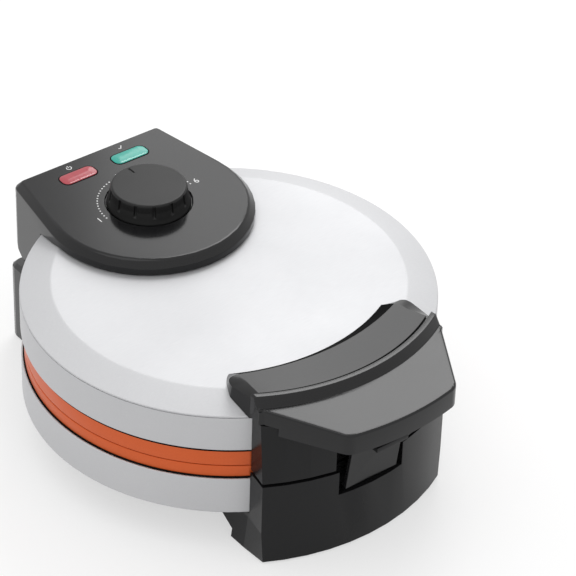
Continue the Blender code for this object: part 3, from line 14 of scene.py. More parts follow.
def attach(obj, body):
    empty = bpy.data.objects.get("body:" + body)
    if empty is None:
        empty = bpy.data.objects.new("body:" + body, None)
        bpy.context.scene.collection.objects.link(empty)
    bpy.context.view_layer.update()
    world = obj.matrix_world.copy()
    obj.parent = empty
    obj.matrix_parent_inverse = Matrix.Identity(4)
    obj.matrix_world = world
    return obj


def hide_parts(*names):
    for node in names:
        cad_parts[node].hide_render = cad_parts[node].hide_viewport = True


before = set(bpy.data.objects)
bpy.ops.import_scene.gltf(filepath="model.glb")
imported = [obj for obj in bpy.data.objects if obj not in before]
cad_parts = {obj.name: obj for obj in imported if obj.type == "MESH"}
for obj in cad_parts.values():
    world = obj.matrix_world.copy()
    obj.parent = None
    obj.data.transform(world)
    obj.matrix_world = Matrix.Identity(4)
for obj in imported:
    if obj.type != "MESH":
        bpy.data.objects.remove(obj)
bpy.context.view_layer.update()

MM = 0.001
AXIS_Y = 8.0

# Meshes: distances in metres, angles in degrees
WELD = 0.000002
SOLID_WELD = 0.00001
FLAT_DEG = 1.0
CREASE_DEG = 32.0
GRIP_CREASE_DEG = 16.0

# Steel lid and base band, in millimetres
LID_RADIUS = 106.0
PLATEAU_RADIUS = 90.2
FLAT_RADIUS = PLATEAU_RADIUS - 4
SHEET = 1.0
INNER_RADIUS = LID_RADIUS - SHEET
HEM_RADIUS = LID_RADIUS - 2.6
RIM_GROOVE_RADIUS = LID_RADIUS - 0.45
FLANGE_RADIUS = 95.0
SHAFT_HOLE = 14.0
PLATEAU_Z = 88.8
RIM_Z = 83.7
BAND_BOTTOM = 62.9
RING_TOP = 44.8
RING_BOTTOM = 23.0
BAND_SIDES = 288
TOP_RINGS = 12

# Cooking plates: depths are measured from the face that meets the other plate
LOWER_FACE = 51.85
UPPER_FACE = 52.15
LOWER_SKIRT_END = 45.1
UPPER_SKIRT_END = 62.6
PLATE_RADIUS = 104.4
SKIRT_INNER = 102.0
GRID_RADIUS = 89.0
FLOOR_RADIUS = 85.5
FLOOR_DEPTH = 13.0
UNDER_FLOOR_DEPTH = 15.5
UNDER_FLOOR_RADIUS = 88.0
UNDER_LAND_DEPTH = 5.9
UNDER_LAND_RADIUS = 90.2
MOAT_FROM = 92.0
MOAT_TO = 99.0
MOAT_DEPTH = 3.4
PLATE_SIDES = 256
PEG_PITCH = 20.0
PEG_FOOT = 13.5
PEG_TOP = 9.5
PEG_SHY = 2.6
PEG_CIRCLE = 82.0
PEG_SIDES = 32
PEG_SQUARENESS = 7
DIVIDER_REACH = 90.5
DIVIDER_STEPS = 40

# Knob
KNOB_Y = 69.5
KNOB_TOP = 106.9
KNOB_ROOF = 105.1
KNOB_FOOT = 96.0
KNOB_HUB = 6.0
SHAFT_BORE = 3.3
KNOB_STEP = 0.35
FINE_FROM = 11.0
NOTCHES = 13
NOTCH_STEPS = 44
NOTCH_RADIUS = 20.3
NOTCH_INNER = 19.0
NOTCH_HALF = 0.85
NOTCH_DEPTH = 0.9
NOTCH_BOTTOM = 99.6
NOTCH_TOP = 106.2
POINTER_HALF = 0.75
POINTER_DEPTH = 0.6
POINTER_FROM = 13.2
POINTER_TO = 17.9

# Panel, its lenses and its prints
PANEL_TOP = 96.7
PANEL_STRAIGHT_Y = 100
PANEL_ROUND = 40
LENS_X = 16.5
LENS_Y = 109.8
LENS_HALF_LONG = 9.7
LENS_HALF_WIDE = 3.6
LENS_ROUND = 2.6
LEAST_ROUND = 0.06
LENS_TOP = PANEL_TOP + 0.6
CORNER_POINTS = 18
PRINT_BOTTOM = PANEL_TOP - 0.02
PRINT_TOP = PANEL_TOP + 0.03
DOT_STEP_DEG = 5
DOT_CIRCLE = 26.7
DOT_RADIUS = 0.48
DOT_SIDES = 10
STROKE_FROM = 26.2
STROKE_TO = 29.8
STROKE_WIDE = 0.9
FIGURE_SIZE = 5.8
FIGURE_HALF_THICK = 0.02

# Handle: its leaning side runs through two points given as (x, distance forward)
SIDE_BACK = (57.3, 97.16)
SIDE_FRONT = (35.5, 134.5)
LEAN = math.atan2(SIDE_BACK[0] - SIDE_FRONT[0], SIDE_FRONT[1] - SIDE_BACK[1])
SIDE_REACH = SIDE_BACK[0] * math.cos(LEAN) + SIDE_BACK[1] * math.sin(LEAN)
LIP_REACH = 142.5
LIP_ROUND = 8.0
LIP_WALL = 2.2
LIP_INNER = LIP_REACH - LIP_WALL
LIP_EDGE = 1.1
LEAST_RIM = 0.6
LIP_FROM = 114.2
LIP_BACK_Z = 93.85
LIP_FRONT_Z = 92.04
LIP_UNDER = 85.3
LIP_ROWS = 12
LIP_COLUMNS = 73
CORNER_FROM = 120
SKIRT_Z = 80.8
SKIRT_FROM = 119.0
POCKET_FROM = 116.3
POCKET_Z = 89.6
RIDGE_BACK = 107.2
RIDGE_CREST = 110.0
RIDGE_FOOT = 112.8
RIDGE_FRONT = 114.0
RIDGE_Z = 98.72
RIDGE_HALF = 56.2
RIDGE_FLARE = 0.13
EAR_TIP = (57.1, 99.3)
EAR_ROOT = (55.2, 100.8)
GROOVE_FROM = 105.5
GROOVE_TO = 108.2
GROOVE_DEPTH = 1.3
SADDLE_Z = 97.6

# Saddle at its two levels, the top and the foot. The inner edge is (half width, centre, bend, height) of an
# arc, and the end's outline is a curve's start, knee and stop and then the end of a straight line
TOP, FOOT = 0, 1
INNER_EDGE = ((48.4, 39.9, 121.9, 94.7), (47.6, 30.0, 104.4, 88.7))
FAR_Z = (SADDLE_Z, 84.0)
FAR_HALF = 52.0
END_OUTLINE = (((48.4, -71.9, 94.7), (56.0, -69.4, 94.6), (56.4, -77.0, 94.1), (55.4, -90.0, 95.1)),
               ((47.6, -62.9, 88.7), (52.8, -65.2, 88.7), (57.0, -76.4, 87.4), (56.5, -90.0, 83.9)))
CURVE_SHARE = 0.42
SADDLE_ROWS = 25
SADDLE_COLUMNS = 61
FACET_COLUMNS = 7
SLOPE_ROWS = 5

# Light and camera: powers in watts, places in metres, angles in degrees
AMBIENT = 0.92
FLOOR_LIFT = 0.55
FLOOR_HALF = 6
FLOOR_GREY = 0.94
WHITE = (1, 1, 1, 1)
CAMERA_AZIMUTH = -38.966
CAMERA_ELEVATION = 36.461
CAMERA_ROLL = 1.837
CAMERA_PLACE = (-0.7454, -0.9611, 0.9864)
LENS_MM = 187.5
SENSOR_MM = 36.0
NEAREST_SEEN = 0.01
FARTHEST_SEEN = 50.0


# Shapes

def eased_path(corners, steps):
    """Straight runs with rounded corners: each corner (a, b, radius) gets the circle arc that touches both
    its runs."""
    points = [np.array(corners[0][:2], float)]
    for before, corner, after in zip(corners, corners[1:], corners[2:]):
        middle = np.array(corner[:2], float)
        radius = corner[2]
        if radius == 0:
            points.append(middle)
            continue
        back = np.array(before[:2], float) - middle
        ahead = np.array(after[:2], float) - middle
        back /= np.linalg.norm(back)
        ahead /= np.linalg.norm(ahead)
        half = math.acos(float(np.clip(back @ ahead, -1, 1))) / 2
        centre = middle + (back + ahead) / np.linalg.norm(back + ahead) * radius / math.sin(half)
        first = middle + back * radius / math.tan(half) - centre
        last = middle + ahead * radius / math.tan(half) - centre
        sweep = math.pi - 2 * half
        share = np.linspace(0, 1, steps + 1)[:, None]
        arc = (np.sin((1 - share) * sweep) * first + np.sin(share * sweep) * last) / math.sin(sweep)
        points.extend(arc + centre)
    points.append(np.array(corners[-1][:2], float))
    return np.array(points)


def angles_round(sides):
    """Angles of an even polygon's corners, from 0 to one step before a full turn."""
    return np.arange(sides) * 2 * math.pi / sides


def turned(profile, sides, centre=(0.0, 0.0)):
    """Each profile point (r, z) goes round the upright axis: x = r cos a, y = r sin a."""
    angle = angles_round(sides)
    radius, height = profile[:, :1], profile[:, 1:]
    return np.stack([centre[0] + radius * np.cos(angle), centre[1] + radius * np.sin(angle),
                     height + 0 * angle], axis=-1)


def crowded(count):
    """Places from -1 to 1 that crowd towards both ends: the sine of evenly spaced angles."""
    return np.sin(np.linspace(-1, 1, count) * math.pi / 2)


def rise(distance, width):
    """0 up to an edge and 1 from a width past it on, with a straight line between."""
    return np.clip(distance / width, 0, 1)


def grid_faces(rows, columns, around):
    """Four-sided faces between neighbouring rows, closed round the columns if asked."""
    index = np.arange(rows * columns).reshape(rows, columns)
    here = index if around else index[:, :-1]
    there = np.roll(index, -1, axis=1) if around else index[:, 1:]
    return np.stack([here[:-1], there[:-1], there[1:], here[1:]], axis=-1).reshape(-1, 4)


def make_piece(name, grids, material, body, stands_for=(), crease=CREASE_DEG):
    """Joins grids of points into one mesh with its faces outward. Each grid is (points in mm about the
    plates' axis, whether its columns close round)."""
    points, faces, start = [], [], 0
    for grid, around in grids:
        rows, columns = grid.shape[:2]
        points.append(grid.reshape(-1, 3))
        faces.append(grid_faces(rows, columns, around) + start)
        start += rows * columns
    points = (np.concatenate(points) + (0, AXIS_Y, 0)) * MM
    mesh = bpy.data.meshes.new(name)
    mesh.from_pydata(points.tolist(), [], np.concatenate(faces).tolist())
    tidy_mesh(mesh, crease)
    dress(bpy.data.objects.new(name, mesh), material, body, stands_for)


def tidy_mesh(mesh, crease):
    """Welds a mesh's doubles, drops empty faces, points the faces outward and shades it smooth."""
    shape = bmesh.new()
    shape.from_mesh(mesh)
    bmesh.ops.remove_doubles(shape, verts=shape.verts, dist=WELD)
    bmesh.ops.dissolve_degenerate(shape, edges=shape.edges, dist=WELD)
    bmesh.ops.recalc_face_normals(shape, faces=shape.faces)
    shape.to_mesh(mesh)
    shape.free()
    mesh.shade_smooth()
    mesh.set_sharp_from_angle(angle=math.radians(crease))


def dress(made, material, body, stands_for=()):
    """Puts a finished object in the scene with its material, its body and the solids it stands for."""
    bpy.context.scene.collection.objects.link(made)
    made.data.materials.clear()
    made.data.materials.append(material)
    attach(made, body)
    if stands_for:
        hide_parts(*stands_for)
    return made


def eased_copy(node_name, name, width, material, body, broad=None):
    """A copy of a solid with its corners welded, its flat faces joined and its edges rounded over by a width
    in mm. Edges for which broad(x, y, z) holds at both ends, in mm about the plates' axis, get three times
    the width."""
    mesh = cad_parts[node_name].data.copy()
    shape = bmesh.new()
    shape.from_mesh(mesh)
    bmesh.ops.remove_doubles(shape, verts=shape.verts, dist=SOLID_WELD)
    bmesh.ops.dissolve_limit(shape, angle_limit=math.radians(FLAT_DEG), verts=shape.verts, edges=shape.edges)
    weight = shape.edges.layers.float.new("bevel_weight_edge")
    for edge in shape.edges:
        if edge.is_manifold and edge.calc_face_angle() > math.radians(CREASE_DEG):
            ends = [np.array(corner.co) / MM - (0, AXIS_Y, 0) for corner in edge.verts]
            edge[weight] = 1.0 if broad and all(broad(*end) for end in ends) else 1 / 3
    shape.to_mesh(mesh)
    shape.free()
    mesh.shade_smooth()
    mesh.set_sharp_from_angle(angle=math.radians(CREASE_DEG))
    made = dress(bpy.data.objects.new(name, mesh), material, body, (node_name,))
    round_over = made.modifiers.new("round_over", 'BEVEL')
    round_over.width = 3 * width * MM
    round_over.segments = 4
    round_over.limit_method = 'WEIGHT'
    round_over.harden_normals = True
    round_over.use_clamp_overlap = broad is None


def panel_edge(x, y, z):
    """True on the round front of the panel's flat top."""
    return abs(z - PANEL_TOP) < 0.05 and y < PANEL_STRAIGHT_Y and math.hypot(x, y - KNOB_Y) > PANEL_ROUND


# Finishes

def node(tree, kind, inputs=None, **settings):
    """A shader node with its own settings and the values of its inputs, by name or place."""
    made = tree.nodes.new(kind)
    for key, value in settings.items():
        setattr(made, key, value)
    for socket, value in (inputs or {}).items():
        made.inputs[socket].default_value = value
    return made


def ramp(tree, stops):
    """A colour ramp between two stops, each (place, grey)."""
    made = tree.nodes.new("ShaderNodeValToRGB")
    for element, (place, grey) in zip(made.color_ramp.elements, stops):
        element.position = place
        element.color = (grey, grey, grey, 1)
    return made


def grain_group():
    """Shared effect: stretched noise on Object coordinates. Inputs are the noise's scale and detail, its
    stretch along X, Y and Z and the bump's strength and depth; outputs are the grain as a mask from 0 to 1
    and the bumped normal."""
    tree = bpy.data.node_groups.new("grain", 'ShaderNodeTree')
    socket = tree.interface.new_socket
    for label, value in (("Scale", 1.0), ("Detail", 4.0), ("Bump", 0.1), ("Depth", 0.00002)):
        socket(label, in_out='INPUT', socket_type='NodeSocketFloat').default_value = value
    socket("Stretch", in_out='INPUT', socket_type='NodeSocketVector').default_value = (1, 1, 1)
    socket("Mask", in_out='OUTPUT', socket_type='NodeSocketFloat')
    socket("Normal", in_out='OUTPUT', socket_type='NodeSocketVector')
    entry = tree.nodes.new("NodeGroupInput")
    leave = tree.nodes.new("NodeGroupOutput")
    place = tree.nodes.new("ShaderNodeTexCoord")
    stretch = node(tree, "ShaderNodeVectorMath", operation='MULTIPLY')
    noise = tree.nodes.new("ShaderNodeTexNoise")
    bump = tree.nodes.new("ShaderNodeBump")
    link = tree.links.new
    link(place.outputs["Object"], stretch.inputs[0])
    link(entry.outputs["Stretch"], stretch.inputs[1])
    link(stretch.outputs[0], noise.inputs["Vector"])
    link(entry.outputs["Scale"], noise.inputs["Scale"])
    link(entry.outputs["Detail"], noise.inputs["Detail"])
    link(noise.outputs["Fac"], leave.inputs["Mask"])
    link(noise.outputs["Fac"], bump.inputs["Height"])
    link(entry.outputs["Bump"], bump.inputs["Strength"])
    link(entry.outputs["Depth"], bump.inputs["Distance"])
    link(bump.outputs["Normal"], leave.inputs["Normal"])
    return tree


GRAIN = grain_group()


def finish(name, dark, light, rough, grain, smudge, metallic=0.0, **fixed):
    """A finish: its colour runs from dark to light over the grain, and its roughness over the rough range in
    broad smudges. grain is (scale, stretch, bump, depth) and smudge is (scale, low, high). fixed gives other
    inputs of the shader by label, with _ for each space."""
    made = bpy.data.materials.new(name)
    made.use_nodes = True
    tree = made.node_tree
    shader = tree.nodes["Principled BSDF"]
    link = tree.links.new
    shader.inputs["Metallic"].default_value = metallic
    for label, value in fixed.items():
        shader.inputs[label.replace("_", " ")].default_value = value
    scale, stretch, bump, depth = grain
    fine = node(tree, "ShaderNodeGroup", {"Scale": scale, "Stretch": stretch, "Bump": bump, "Depth": depth},
                node_tree=GRAIN)
    scale, low, high = smudge
    broad = node(tree, "ShaderNodeGroup", {"Scale": scale, "Detail": 5.0, "Bump": 0.0}, node_tree=GRAIN)
    spread = ramp(tree, [(low, 0.0), (high, 1.0)])
    tone = node(tree, "ShaderNodeMix", {"A": (*dark, 1), "B": (*light, 1)}, data_type='RGBA')
    level = node(tree, "ShaderNodeMapRange", {"To Min": rough[0], "To Max": rough[1]})
    link(fine.outputs["Mask"], tone.inputs["Factor"])
    link(tone.outputs["Result"], shader.inputs["Base Color"])
    link(broad.outputs["Mask"], spread.inputs["Fac"])
    link(spread.outputs["Color"], level.inputs["Value"])
    link(level.outputs["Result"], shader.inputs["Roughness"])
    link(fine.outputs["Normal"], shader.inputs["Normal"])
    return made


SATIN_STEEL = finish(
    "satin_steel", dark=(0.55, 0.552, 0.565), light=(0.615, 0.617, 0.625), rough=(0.62, 0.70), metallic=1.0,
    grain=(160.0, (1.0, 14.0, 14.0), 0.06, 0.00003), smudge=(9.0, 0.35, 0.7))
COPPER_COAT = finish(
    "copper_coat", dark=(0.50, 0.070, 0.007), light=(0.66, 0.115, 0.018), rough=(0.36, 0.46), metallic=0.35,
    grain=(2600.0, (1, 1, 1), 0.12, 0.00002), smudge=(30.0, 0.35, 0.7))
GLOSS_BLACK = finish(
    "gloss_black", dark=(0.007, 0.007, 0.0075), light=(0.010, 0.010, 0.0105), rough=(0.15, 0.20),
    grain=(900.0, (1, 1, 1), 0.02, 0.00001), smudge=(14.0, 0.4, 0.75), Specular_IOR_Level=0.32)
REAR_BLACK = finish(
    "rear_black", dark=(0.008, 0.008, 0.0085), light=(0.012, 0.012, 0.0125), rough=(0.20, 0.28),
    grain=(900.0, (1, 1, 1), 0.03, 0.00001), smudge=(14.0, 0.4, 0.75), Specular_IOR_Level=0.75)
# Non-reflecting black for painted shade: the dark rings along the plates' joints and round the lenses, and
# the grip's inner slope.
PAINTED_SHADE_BLACK = finish(
    "painted_shade_black", dark=(0.004, 0.004, 0.004), light=(0.007, 0.007, 0.007), rough=(0.75, 0.85),
    grain=(1600.0, (1, 1, 1), 0.1, 0.00001), smudge=(50.0, 0.3, 0.7), Specular_IOR_Level=0.02)
SATIN_BLACK = finish(
    "satin_black", dark=(0.007, 0.007, 0.0075), light=(0.011, 0.011, 0.0115), rough=(0.22, 0.30),
    grain=(2200.0, (1, 1, 1), 0.05, 0.00001), smudge=(14.0, 0.4, 0.75), Specular_IOR_Level=0.18)
MATTE_BLACK = finish(
    "matte_black", dark=(0.016, 0.016, 0.016), light=(0.026, 0.026, 0.026), rough=(0.5, 0.62),
    grain=(1800.0, (1, 1, 1), 0.25, 0.00003), smudge=(20.0, 0.3, 0.7))
KNOB_BLACK = finish(
    "knob_black", dark=(0.005, 0.005, 0.005), light=(0.010, 0.010, 0.010), rough=(0.30, 0.38),
    grain=(2400.0, (1, 1, 1), 0.10, 0.00002), smudge=(30.0, 0.3, 0.7), Specular_IOR_Level=0.24)
RED_LENS = finish(
    "red_lens", dark=(0.31, 0.018, 0.032), light=(0.41, 0.042, 0.058), rough=(0.10, 0.16),
    grain=(420.0, (1, 0.2, 0.2), 0.2, 0.00008), smudge=(40.0, 0.3, 0.7), Coat_Weight=0.3)
GREEN_LENS = finish(
    "green_lens", dark=(0.0, 0.27, 0.215), light=(0.012, 0.38, 0.30), rough=(0.10, 0.16),
    grain=(420.0, (1, 0.2, 0.2), 0.2, 0.00008), smudge=(40.0, 0.3, 0.7), Coat_Weight=0.3)
PRINT_WHITE = finish(
    "print_white", dark=(0.62, 0.62, 0.62), light=(0.74, 0.74, 0.74), rough=(0.45, 0.55),
    grain=(1500.0, (1, 1, 1), 0.05, 0.00001), smudge=(60.0, 0.3, 0.7))
HEATER_TUBE = finish(
    "heater_tube", dark=(0.10, 0.09, 0.085), light=(0.24, 0.22, 0.20), rough=(0.42, 0.6), metallic=0.9,
    grain=(500.0, (1, 1, 1), 0.2, 0.00004), smudge=(40.0, 0.3, 0.7))
PLATED_SHEET = finish(
    "plated_sheet", dark=(0.52, 0.52, 0.53), light=(0.66, 0.66, 0.67), rough=(0.26, 0.4), metallic=1.0,
    grain=(300.0, (1, 1, 1), 0.08, 0.00002), smudge=(25.0, 0.3, 0.7))
PIN_STEEL = finish(
    "pin_steel", dark=(0.42, 0.42, 0.43), light=(0.58, 0.58, 0.59), rough=(0.22, 0.34), metallic=1.0,
    grain=(900.0, (6, 1, 1), 0.1, 0.00001), smudge=(80.0, 0.3, 0.7))
RUBBER = finish(
    "rubber", dark=(0.012, 0.012, 0.012), light=(0.026, 0.026, 0.026), rough=(0.7, 0.85),
    grain=(1600.0, (1, 1, 1), 0.3, 0.00004), smudge=(50.0, 0.3, 0.7))
CERAMIC = finish(
    "ceramic", dark=(0.70, 0.68, 0.61), light=(0.80, 0.78, 0.72), rough=(0.5, 0.65),
    grain=(1200.0, (1, 1, 1), 0.2, 0.00004), smudge=(60.0, 0.3, 0.7))
BOARD = finish(
    "board", dark=(0.05, 0.17, 0.06), light=(0.09, 0.25, 0.10), rough=(0.4, 0.55),
    grain=(1400.0, (1, 5, 1), 0.15, 0.00002), smudge=(60.0, 0.3, 0.7))
LAMP_GLASS = finish(
    "lamp_glass", dark=(0.70, 0.42, 0.22), light=(0.86, 0.56, 0.34), rough=(0.06, 0.12),
    grain=(700.0, (1, 1, 1), 0.1, 0.00002), smudge=(80.0, 0.3, 0.7), Transmission_Weight=0.6)


# Round body

def make_lid_shell():
    """Pressed lid: flat top, sloping shoulder, rolled rim with a fine groove below it, upright band and hem,
    and the shaft's hole. The section is a path of (radius, height) round the axis. On the flat top each ring
    slides from the shaft's hole out to the plateau: ring t = (1 - t) hole + t plateau."""
    outer = eased_path([(FLAT_RADIUS, PLATEAU_Z, 0), (PLATEAU_RADIUS, PLATEAU_Z, 5.0),
                        (LID_RADIUS - 0.15, RIM_Z + 0.1, 0.5), (LID_RADIUS - 0.1, RIM_Z - 0.55, 0),
                        (RIM_GROOVE_RADIUS, RIM_Z - 0.62, 0), (RIM_GROOVE_RADIUS, RIM_Z - 0.88, 0),
                        (LID_RADIUS, RIM_Z - 0.95, 0), (LID_RADIUS, BAND_BOTTOM, 0.5),
                        (HEM_RADIUS, BAND_BOTTOM, 0.3), (HEM_RADIUS, BAND_BOTTOM + SHEET, 0),
                        (INNER_RADIUS, BAND_BOTTOM + SHEET, 0), (INNER_RADIUS, RIM_Z - SHEET, 0.6),
                        (PLATEAU_RADIUS, PLATEAU_Z - SHEET, 3.0),
                        (FLAT_RADIUS, PLATEAU_Z - SHEET, 0)], steps=8)
    wall = turned(outer, BAND_SIDES)
    angle = angles_round(BAND_SIDES)
    hole = np.stack([SHAFT_HOLE * np.cos(angle), KNOB_Y + SHAFT_HOLE * np.sin(angle)], axis=-1)
    edge = np.stack([np.cos(angle), np.sin(angle)], axis=-1) * FLAT_RADIUS
    slide = np.linspace(0, 1, TOP_RINGS)[:, None, None]
    plan = (1 - slide) * hole + slide * edge
    top = np.concatenate([plan, np.full(plan.shape[:2] + (1,), PLATEAU_Z)], axis=-1)
    under = top - (0, 0, SHEET)
    hole_wall = np.stack([top[0], under[0]])
    make_piece("lid_shell", [(wall, True), (top, True), (under, True), (hole_wall, True)],
               SATIN_STEEL, "lid", ("lid_cover",))


def make_base_band():
    """Steel band of the base: hemmed top edge, upright wall, rolled bottom edge and inward flange."""
    path = eased_path([(HEM_RADIUS, RING_TOP, 0), (LID_RADIUS, RING_TOP, 0.5),
                       (LID_RADIUS, RING_BOTTOM, 1.6), (FLANGE_RADIUS, RING_BOTTOM, 0),
                       (FLANGE_RADIUS, RING_BOTTOM + SHEET, 0), (INNER_RADIUS, RING_BOTTOM + SHEET, 0.6),
                       (INNER_RADIUS, RING_TOP - SHEET, 0), (HEM_RADIUS, RING_TOP - SHEET, 0),
                       (HEM_RADIUS, RING_TOP, 0)], steps=7)
    make_piece("base_band", [(turned(path, BAND_SIDES), True)], SATIN_STEEL, "base",
               ("base_ring",))


def make_shade_ring(name, body, path):
    """Painted shade between steel and plate: a dark, non-reflecting ring standing in for the shade along the
    joint, a closed section of (radius, height) round the axis.
    """
    section = np.array(path + path[:1], float)
    make_piece(name, [(turned(section, PLATE_SIDES), True)], PAINTED_SHADE_BLACK, body)


def rounded_peg(x, y, floor, crest):
    """One peg: each level of its side is a superellipse |u|^n + |v|^n = 1, n being the squareness, whose half
    size shrinks from foot to top, with a flared root and a rounded crest."""
    side = 1 if crest > floor else -1
    path = eased_path([(PEG_FOOT / 2 + 1.2, floor - side * 0.05, 0),
                       (PEG_FOOT / 2 - 0.1, floor + side * 0.1, 0.9),
                       (PEG_TOP / 2, crest, 0.9), (0, crest, 0)], steps=3)
    angle = angles_round(PEG_SIDES) + math.pi / PEG_SIDES
    power = 2 / PEG_SQUARENESS
    loop = np.stack([np.sign(np.cos(angle)) * np.abs(np.cos(angle)) ** power,
                     np.sign(np.sin(angle)) * np.abs(np.sin(angle)) ** power], axis=-1)
    plan = loop[None] * path[:, :1, None] + (x, y)
    return np.concatenate([plan, np.repeat(path[:, 1:, None], PEG_SIDES, axis=1)], axis=-1)


def divider(floor, crest, along_x):
    """One bar of the cross: a trapezoid section with rounded top corners, carried along X or Y."""
    side = 1 if crest > floor else -1
    section = eased_path([(-3.0, floor - side * 0.05, 0), (-1.8, floor + side * 0.1, 0.7),
                          (-1.0, crest, 0.6), (1.0, crest, 0.6),
                          (1.8, floor + side * 0.1, 0.7), (3.0, floor - side * 0.05, 0)], steps=3)
    run = np.linspace(-DIVIDER_REACH, DIVIDER_REACH, DIVIDER_STEPS)
    across = np.repeat(section[:, :1], DIVIDER_STEPS, axis=1)
    height = np.repeat(section[:, 1:], DIVIDER_STEPS, axis=1)
    along = np.repeat(run[None], len(section), axis=0)
    return np.stack([along, across, height] if along_x else [across, along, height], axis=-1)


def make_cooking_plate(name, node_name, body, face, side, skirt_end, moat):
    """Cast plate: a turned section of (radius, depth) with rounded corners, a square pattern of pegs and a
    cross between the quarters. side is 1 for the lower plate and -1 for the upper, and turns a depth into
    a height: height = face - side * depth."""
    floor, crest = face - side * FLOOR_DEPTH, face - side * PEG_SHY
    skirt_depth = abs(skirt_end - face)
    corners = [(0, FLOOR_DEPTH, 0), (FLOOR_RADIUS, FLOOR_DEPTH, 1.6), (GRID_RADIUS, 0, 0.8)]
    if moat:
        corners += [(MOAT_FROM, 0, 0.4), (MOAT_FROM + 1, MOAT_DEPTH, 0.6),
                    (MOAT_TO - 1, MOAT_DEPTH, 0.6), (MOAT_TO, 0, 0.4)]
    corners += [(PLATE_RADIUS, 0, 0.6), (PLATE_RADIUS, skirt_depth, 0.2), (SKIRT_INNER, skirt_depth, 0),
                (SKIRT_INNER, UNDER_LAND_DEPTH, 0.8), (UNDER_LAND_RADIUS, UNDER_LAND_DEPTH, 0.8),
                (UNDER_FLOOR_RADIUS, UNDER_FLOOR_DEPTH, 0), (0, UNDER_FLOOR_DEPTH, 0)]
    path = eased_path(corners, steps=5)
    path[:, 1] = face - side * path[:, 1]
    grids = [(turned(path, PLATE_SIDES), True)]
    places = np.arange(-5, 5) * PEG_PITCH + PEG_PITCH / 2
    for x in places:
        for y in places:
            if math.hypot(abs(x) + PEG_FOOT / 2, abs(y) + PEG_FOOT / 2) < PEG_CIRCLE:
                grids.append((rounded_peg(x, y, floor, crest), True))
    grids += [(divider(floor, crest, True), False), (divider(floor, crest, False), False)]
    make_piece(name, grids, COPPER_COAT, body, (node_name,))


# Knob, lenses and panel prints

def make_knob():
    """Dial knob: a turned section whose side is cut by notches, r = r0 - depth * notch(angle, height), and
    whose top carries a pointer slot, z = z0 - depth * slot(x, y)."""
    outer = eased_path([(0, KNOB_TOP, 0), (12.0, KNOB_TOP, 0), (19.9, KNOB_TOP, 1.3), (20.5, 102.6, 0),
                        (21.5, 98.5, 0), (22.2, KNOB_FOOT, 0.3), (19.5, KNOB_FOOT, 0), (18.6, KNOB_ROOF, 0),
                        (KNOB_HUB, KNOB_ROOF, 0), (KNOB_HUB, KNOB_FOOT, 0), (SHAFT_BORE, KNOB_FOOT, 0),
                        (SHAFT_BORE, KNOB_ROOF, 0), (0, KNOB_ROOF, 0)], steps=8)
    dense = [outer[:1]]
    for first, last in zip(outer, outer[1:]):
        fine = last[1] > KNOB_FOOT - 0.1 and last[0] > FINE_FROM
        count = max(1, int(np.linalg.norm(last - first) / KNOB_STEP)) if fine else 1
        share = np.linspace(0, 1, count + 1)[1:, None]
        dense.append(first + (last - first) * share)
    path = np.concatenate(dense)
    sides = NOTCHES * NOTCH_STEPS
    grid = turned(path, sides)
    beat = (angles_round(sides) - math.pi / 2) * NOTCHES / (2 * math.pi)
    off = np.abs(beat - np.floor(beat) - 0.5) * 2 * math.pi * NOTCH_RADIUS / NOTCHES
    wide = rise(NOTCH_HALF - off, 0.45)
    wide = wide * wide * (3 - 2 * wide)
    outside = (path[:, 0] > NOTCH_INNER) & (np.arange(len(path)) < np.argmax(path[:, 1] < KNOB_FOOT + 0.2))
    tall = rise(path[:, 1] - NOTCH_BOTTOM, 0.8) * rise(NOTCH_TOP - path[:, 1], 0.6) * outside
    shrink = 1 - NOTCH_DEPTH * tall[:, None] * wide[None] / np.maximum(path[:, :1], 1)
    grid[..., 0] *= shrink
    grid[..., 1] *= shrink
    slot = rise(POINTER_HALF - np.abs(grid[..., 0]), 0.3)
    slot = slot * rise(grid[..., 1] - POINTER_FROM, 0.4) * rise(POINTER_TO - grid[..., 1], 0.4)
    grid[..., 2] -= POINTER_DEPTH * slot * (grid[..., 2] > KNOB_TOP - 0.2)
    grid[..., 1] += KNOB_Y
    make_piece("dial_knob", [(grid, True)], KNOB_BLACK, "knob", ("temperature_knob",))


def bar_loop(half_long, half_wide, radius):
    """Rounded bar outline: four quarter circles, joined by straight runs."""
    turn = np.linspace(0, math.pi / 2, CORNER_POINTS)
    loops = []
    for index, (sx, sy) in enumerate([(1, 1), (-1, 1), (-1, -1), (1, -1)]):
        angle = turn + index * math.pi / 2
        loops.append(np.stack([sx * (half_long - radius) + radius * np.cos(angle),
                               sy * (half_wide - radius) + radius * np.sin(angle)], axis=-1))
    return np.concatenate(loops)


def lens_ring(side, inset, height):
    """Outline of the lens on one side of the panel, drawn in by an inset, at a height."""
    loop = bar_loop(LENS_HALF_LONG - inset, LENS_HALF_WIDE - inset, max(LENS_ROUND - inset, LEAST_ROUND))
    return np.column_stack([loop + (side * LENS_X, LENS_Y), np.full(len(loop), height)])


def make_lens(name, node_name, side, material):
    """Lamp lens: rings of the bar outline, each with its inset and height, from the flange below the panel up
    over a low crown, closed by a middle point at both ends."""
    levels = [(-1.6, PANEL_TOP - 3.7), (-1.6, PANEL_TOP - 2.5), (0, PANEL_TOP - 2.5), (0, PANEL_TOP + 0.02),
              (-0.8, PANEL_TOP + 0.04), (-0.8, LENS_TOP - 0.42), (-0.6, LENS_TOP - 0.26),
              (-0.2, LENS_TOP - 0.17), (1.1, LENS_TOP - 0.1), (1.8, LENS_TOP - 0.07), (2.6, LENS_TOP - 0.02),
              (3.5, LENS_TOP)]
    rows = [lens_ring(side, inset, height) for inset, height in levels]
    rows = [np.repeat(rows[0].mean(axis=0)[None], len(rows[0]), axis=0)] + rows
    rows.append(np.repeat(rows[-1].mean(axis=0)[None], len(rows[-1]), axis=0))
    make_piece(name, [(np.array(rows), True)], material, "lid", (node_name,))


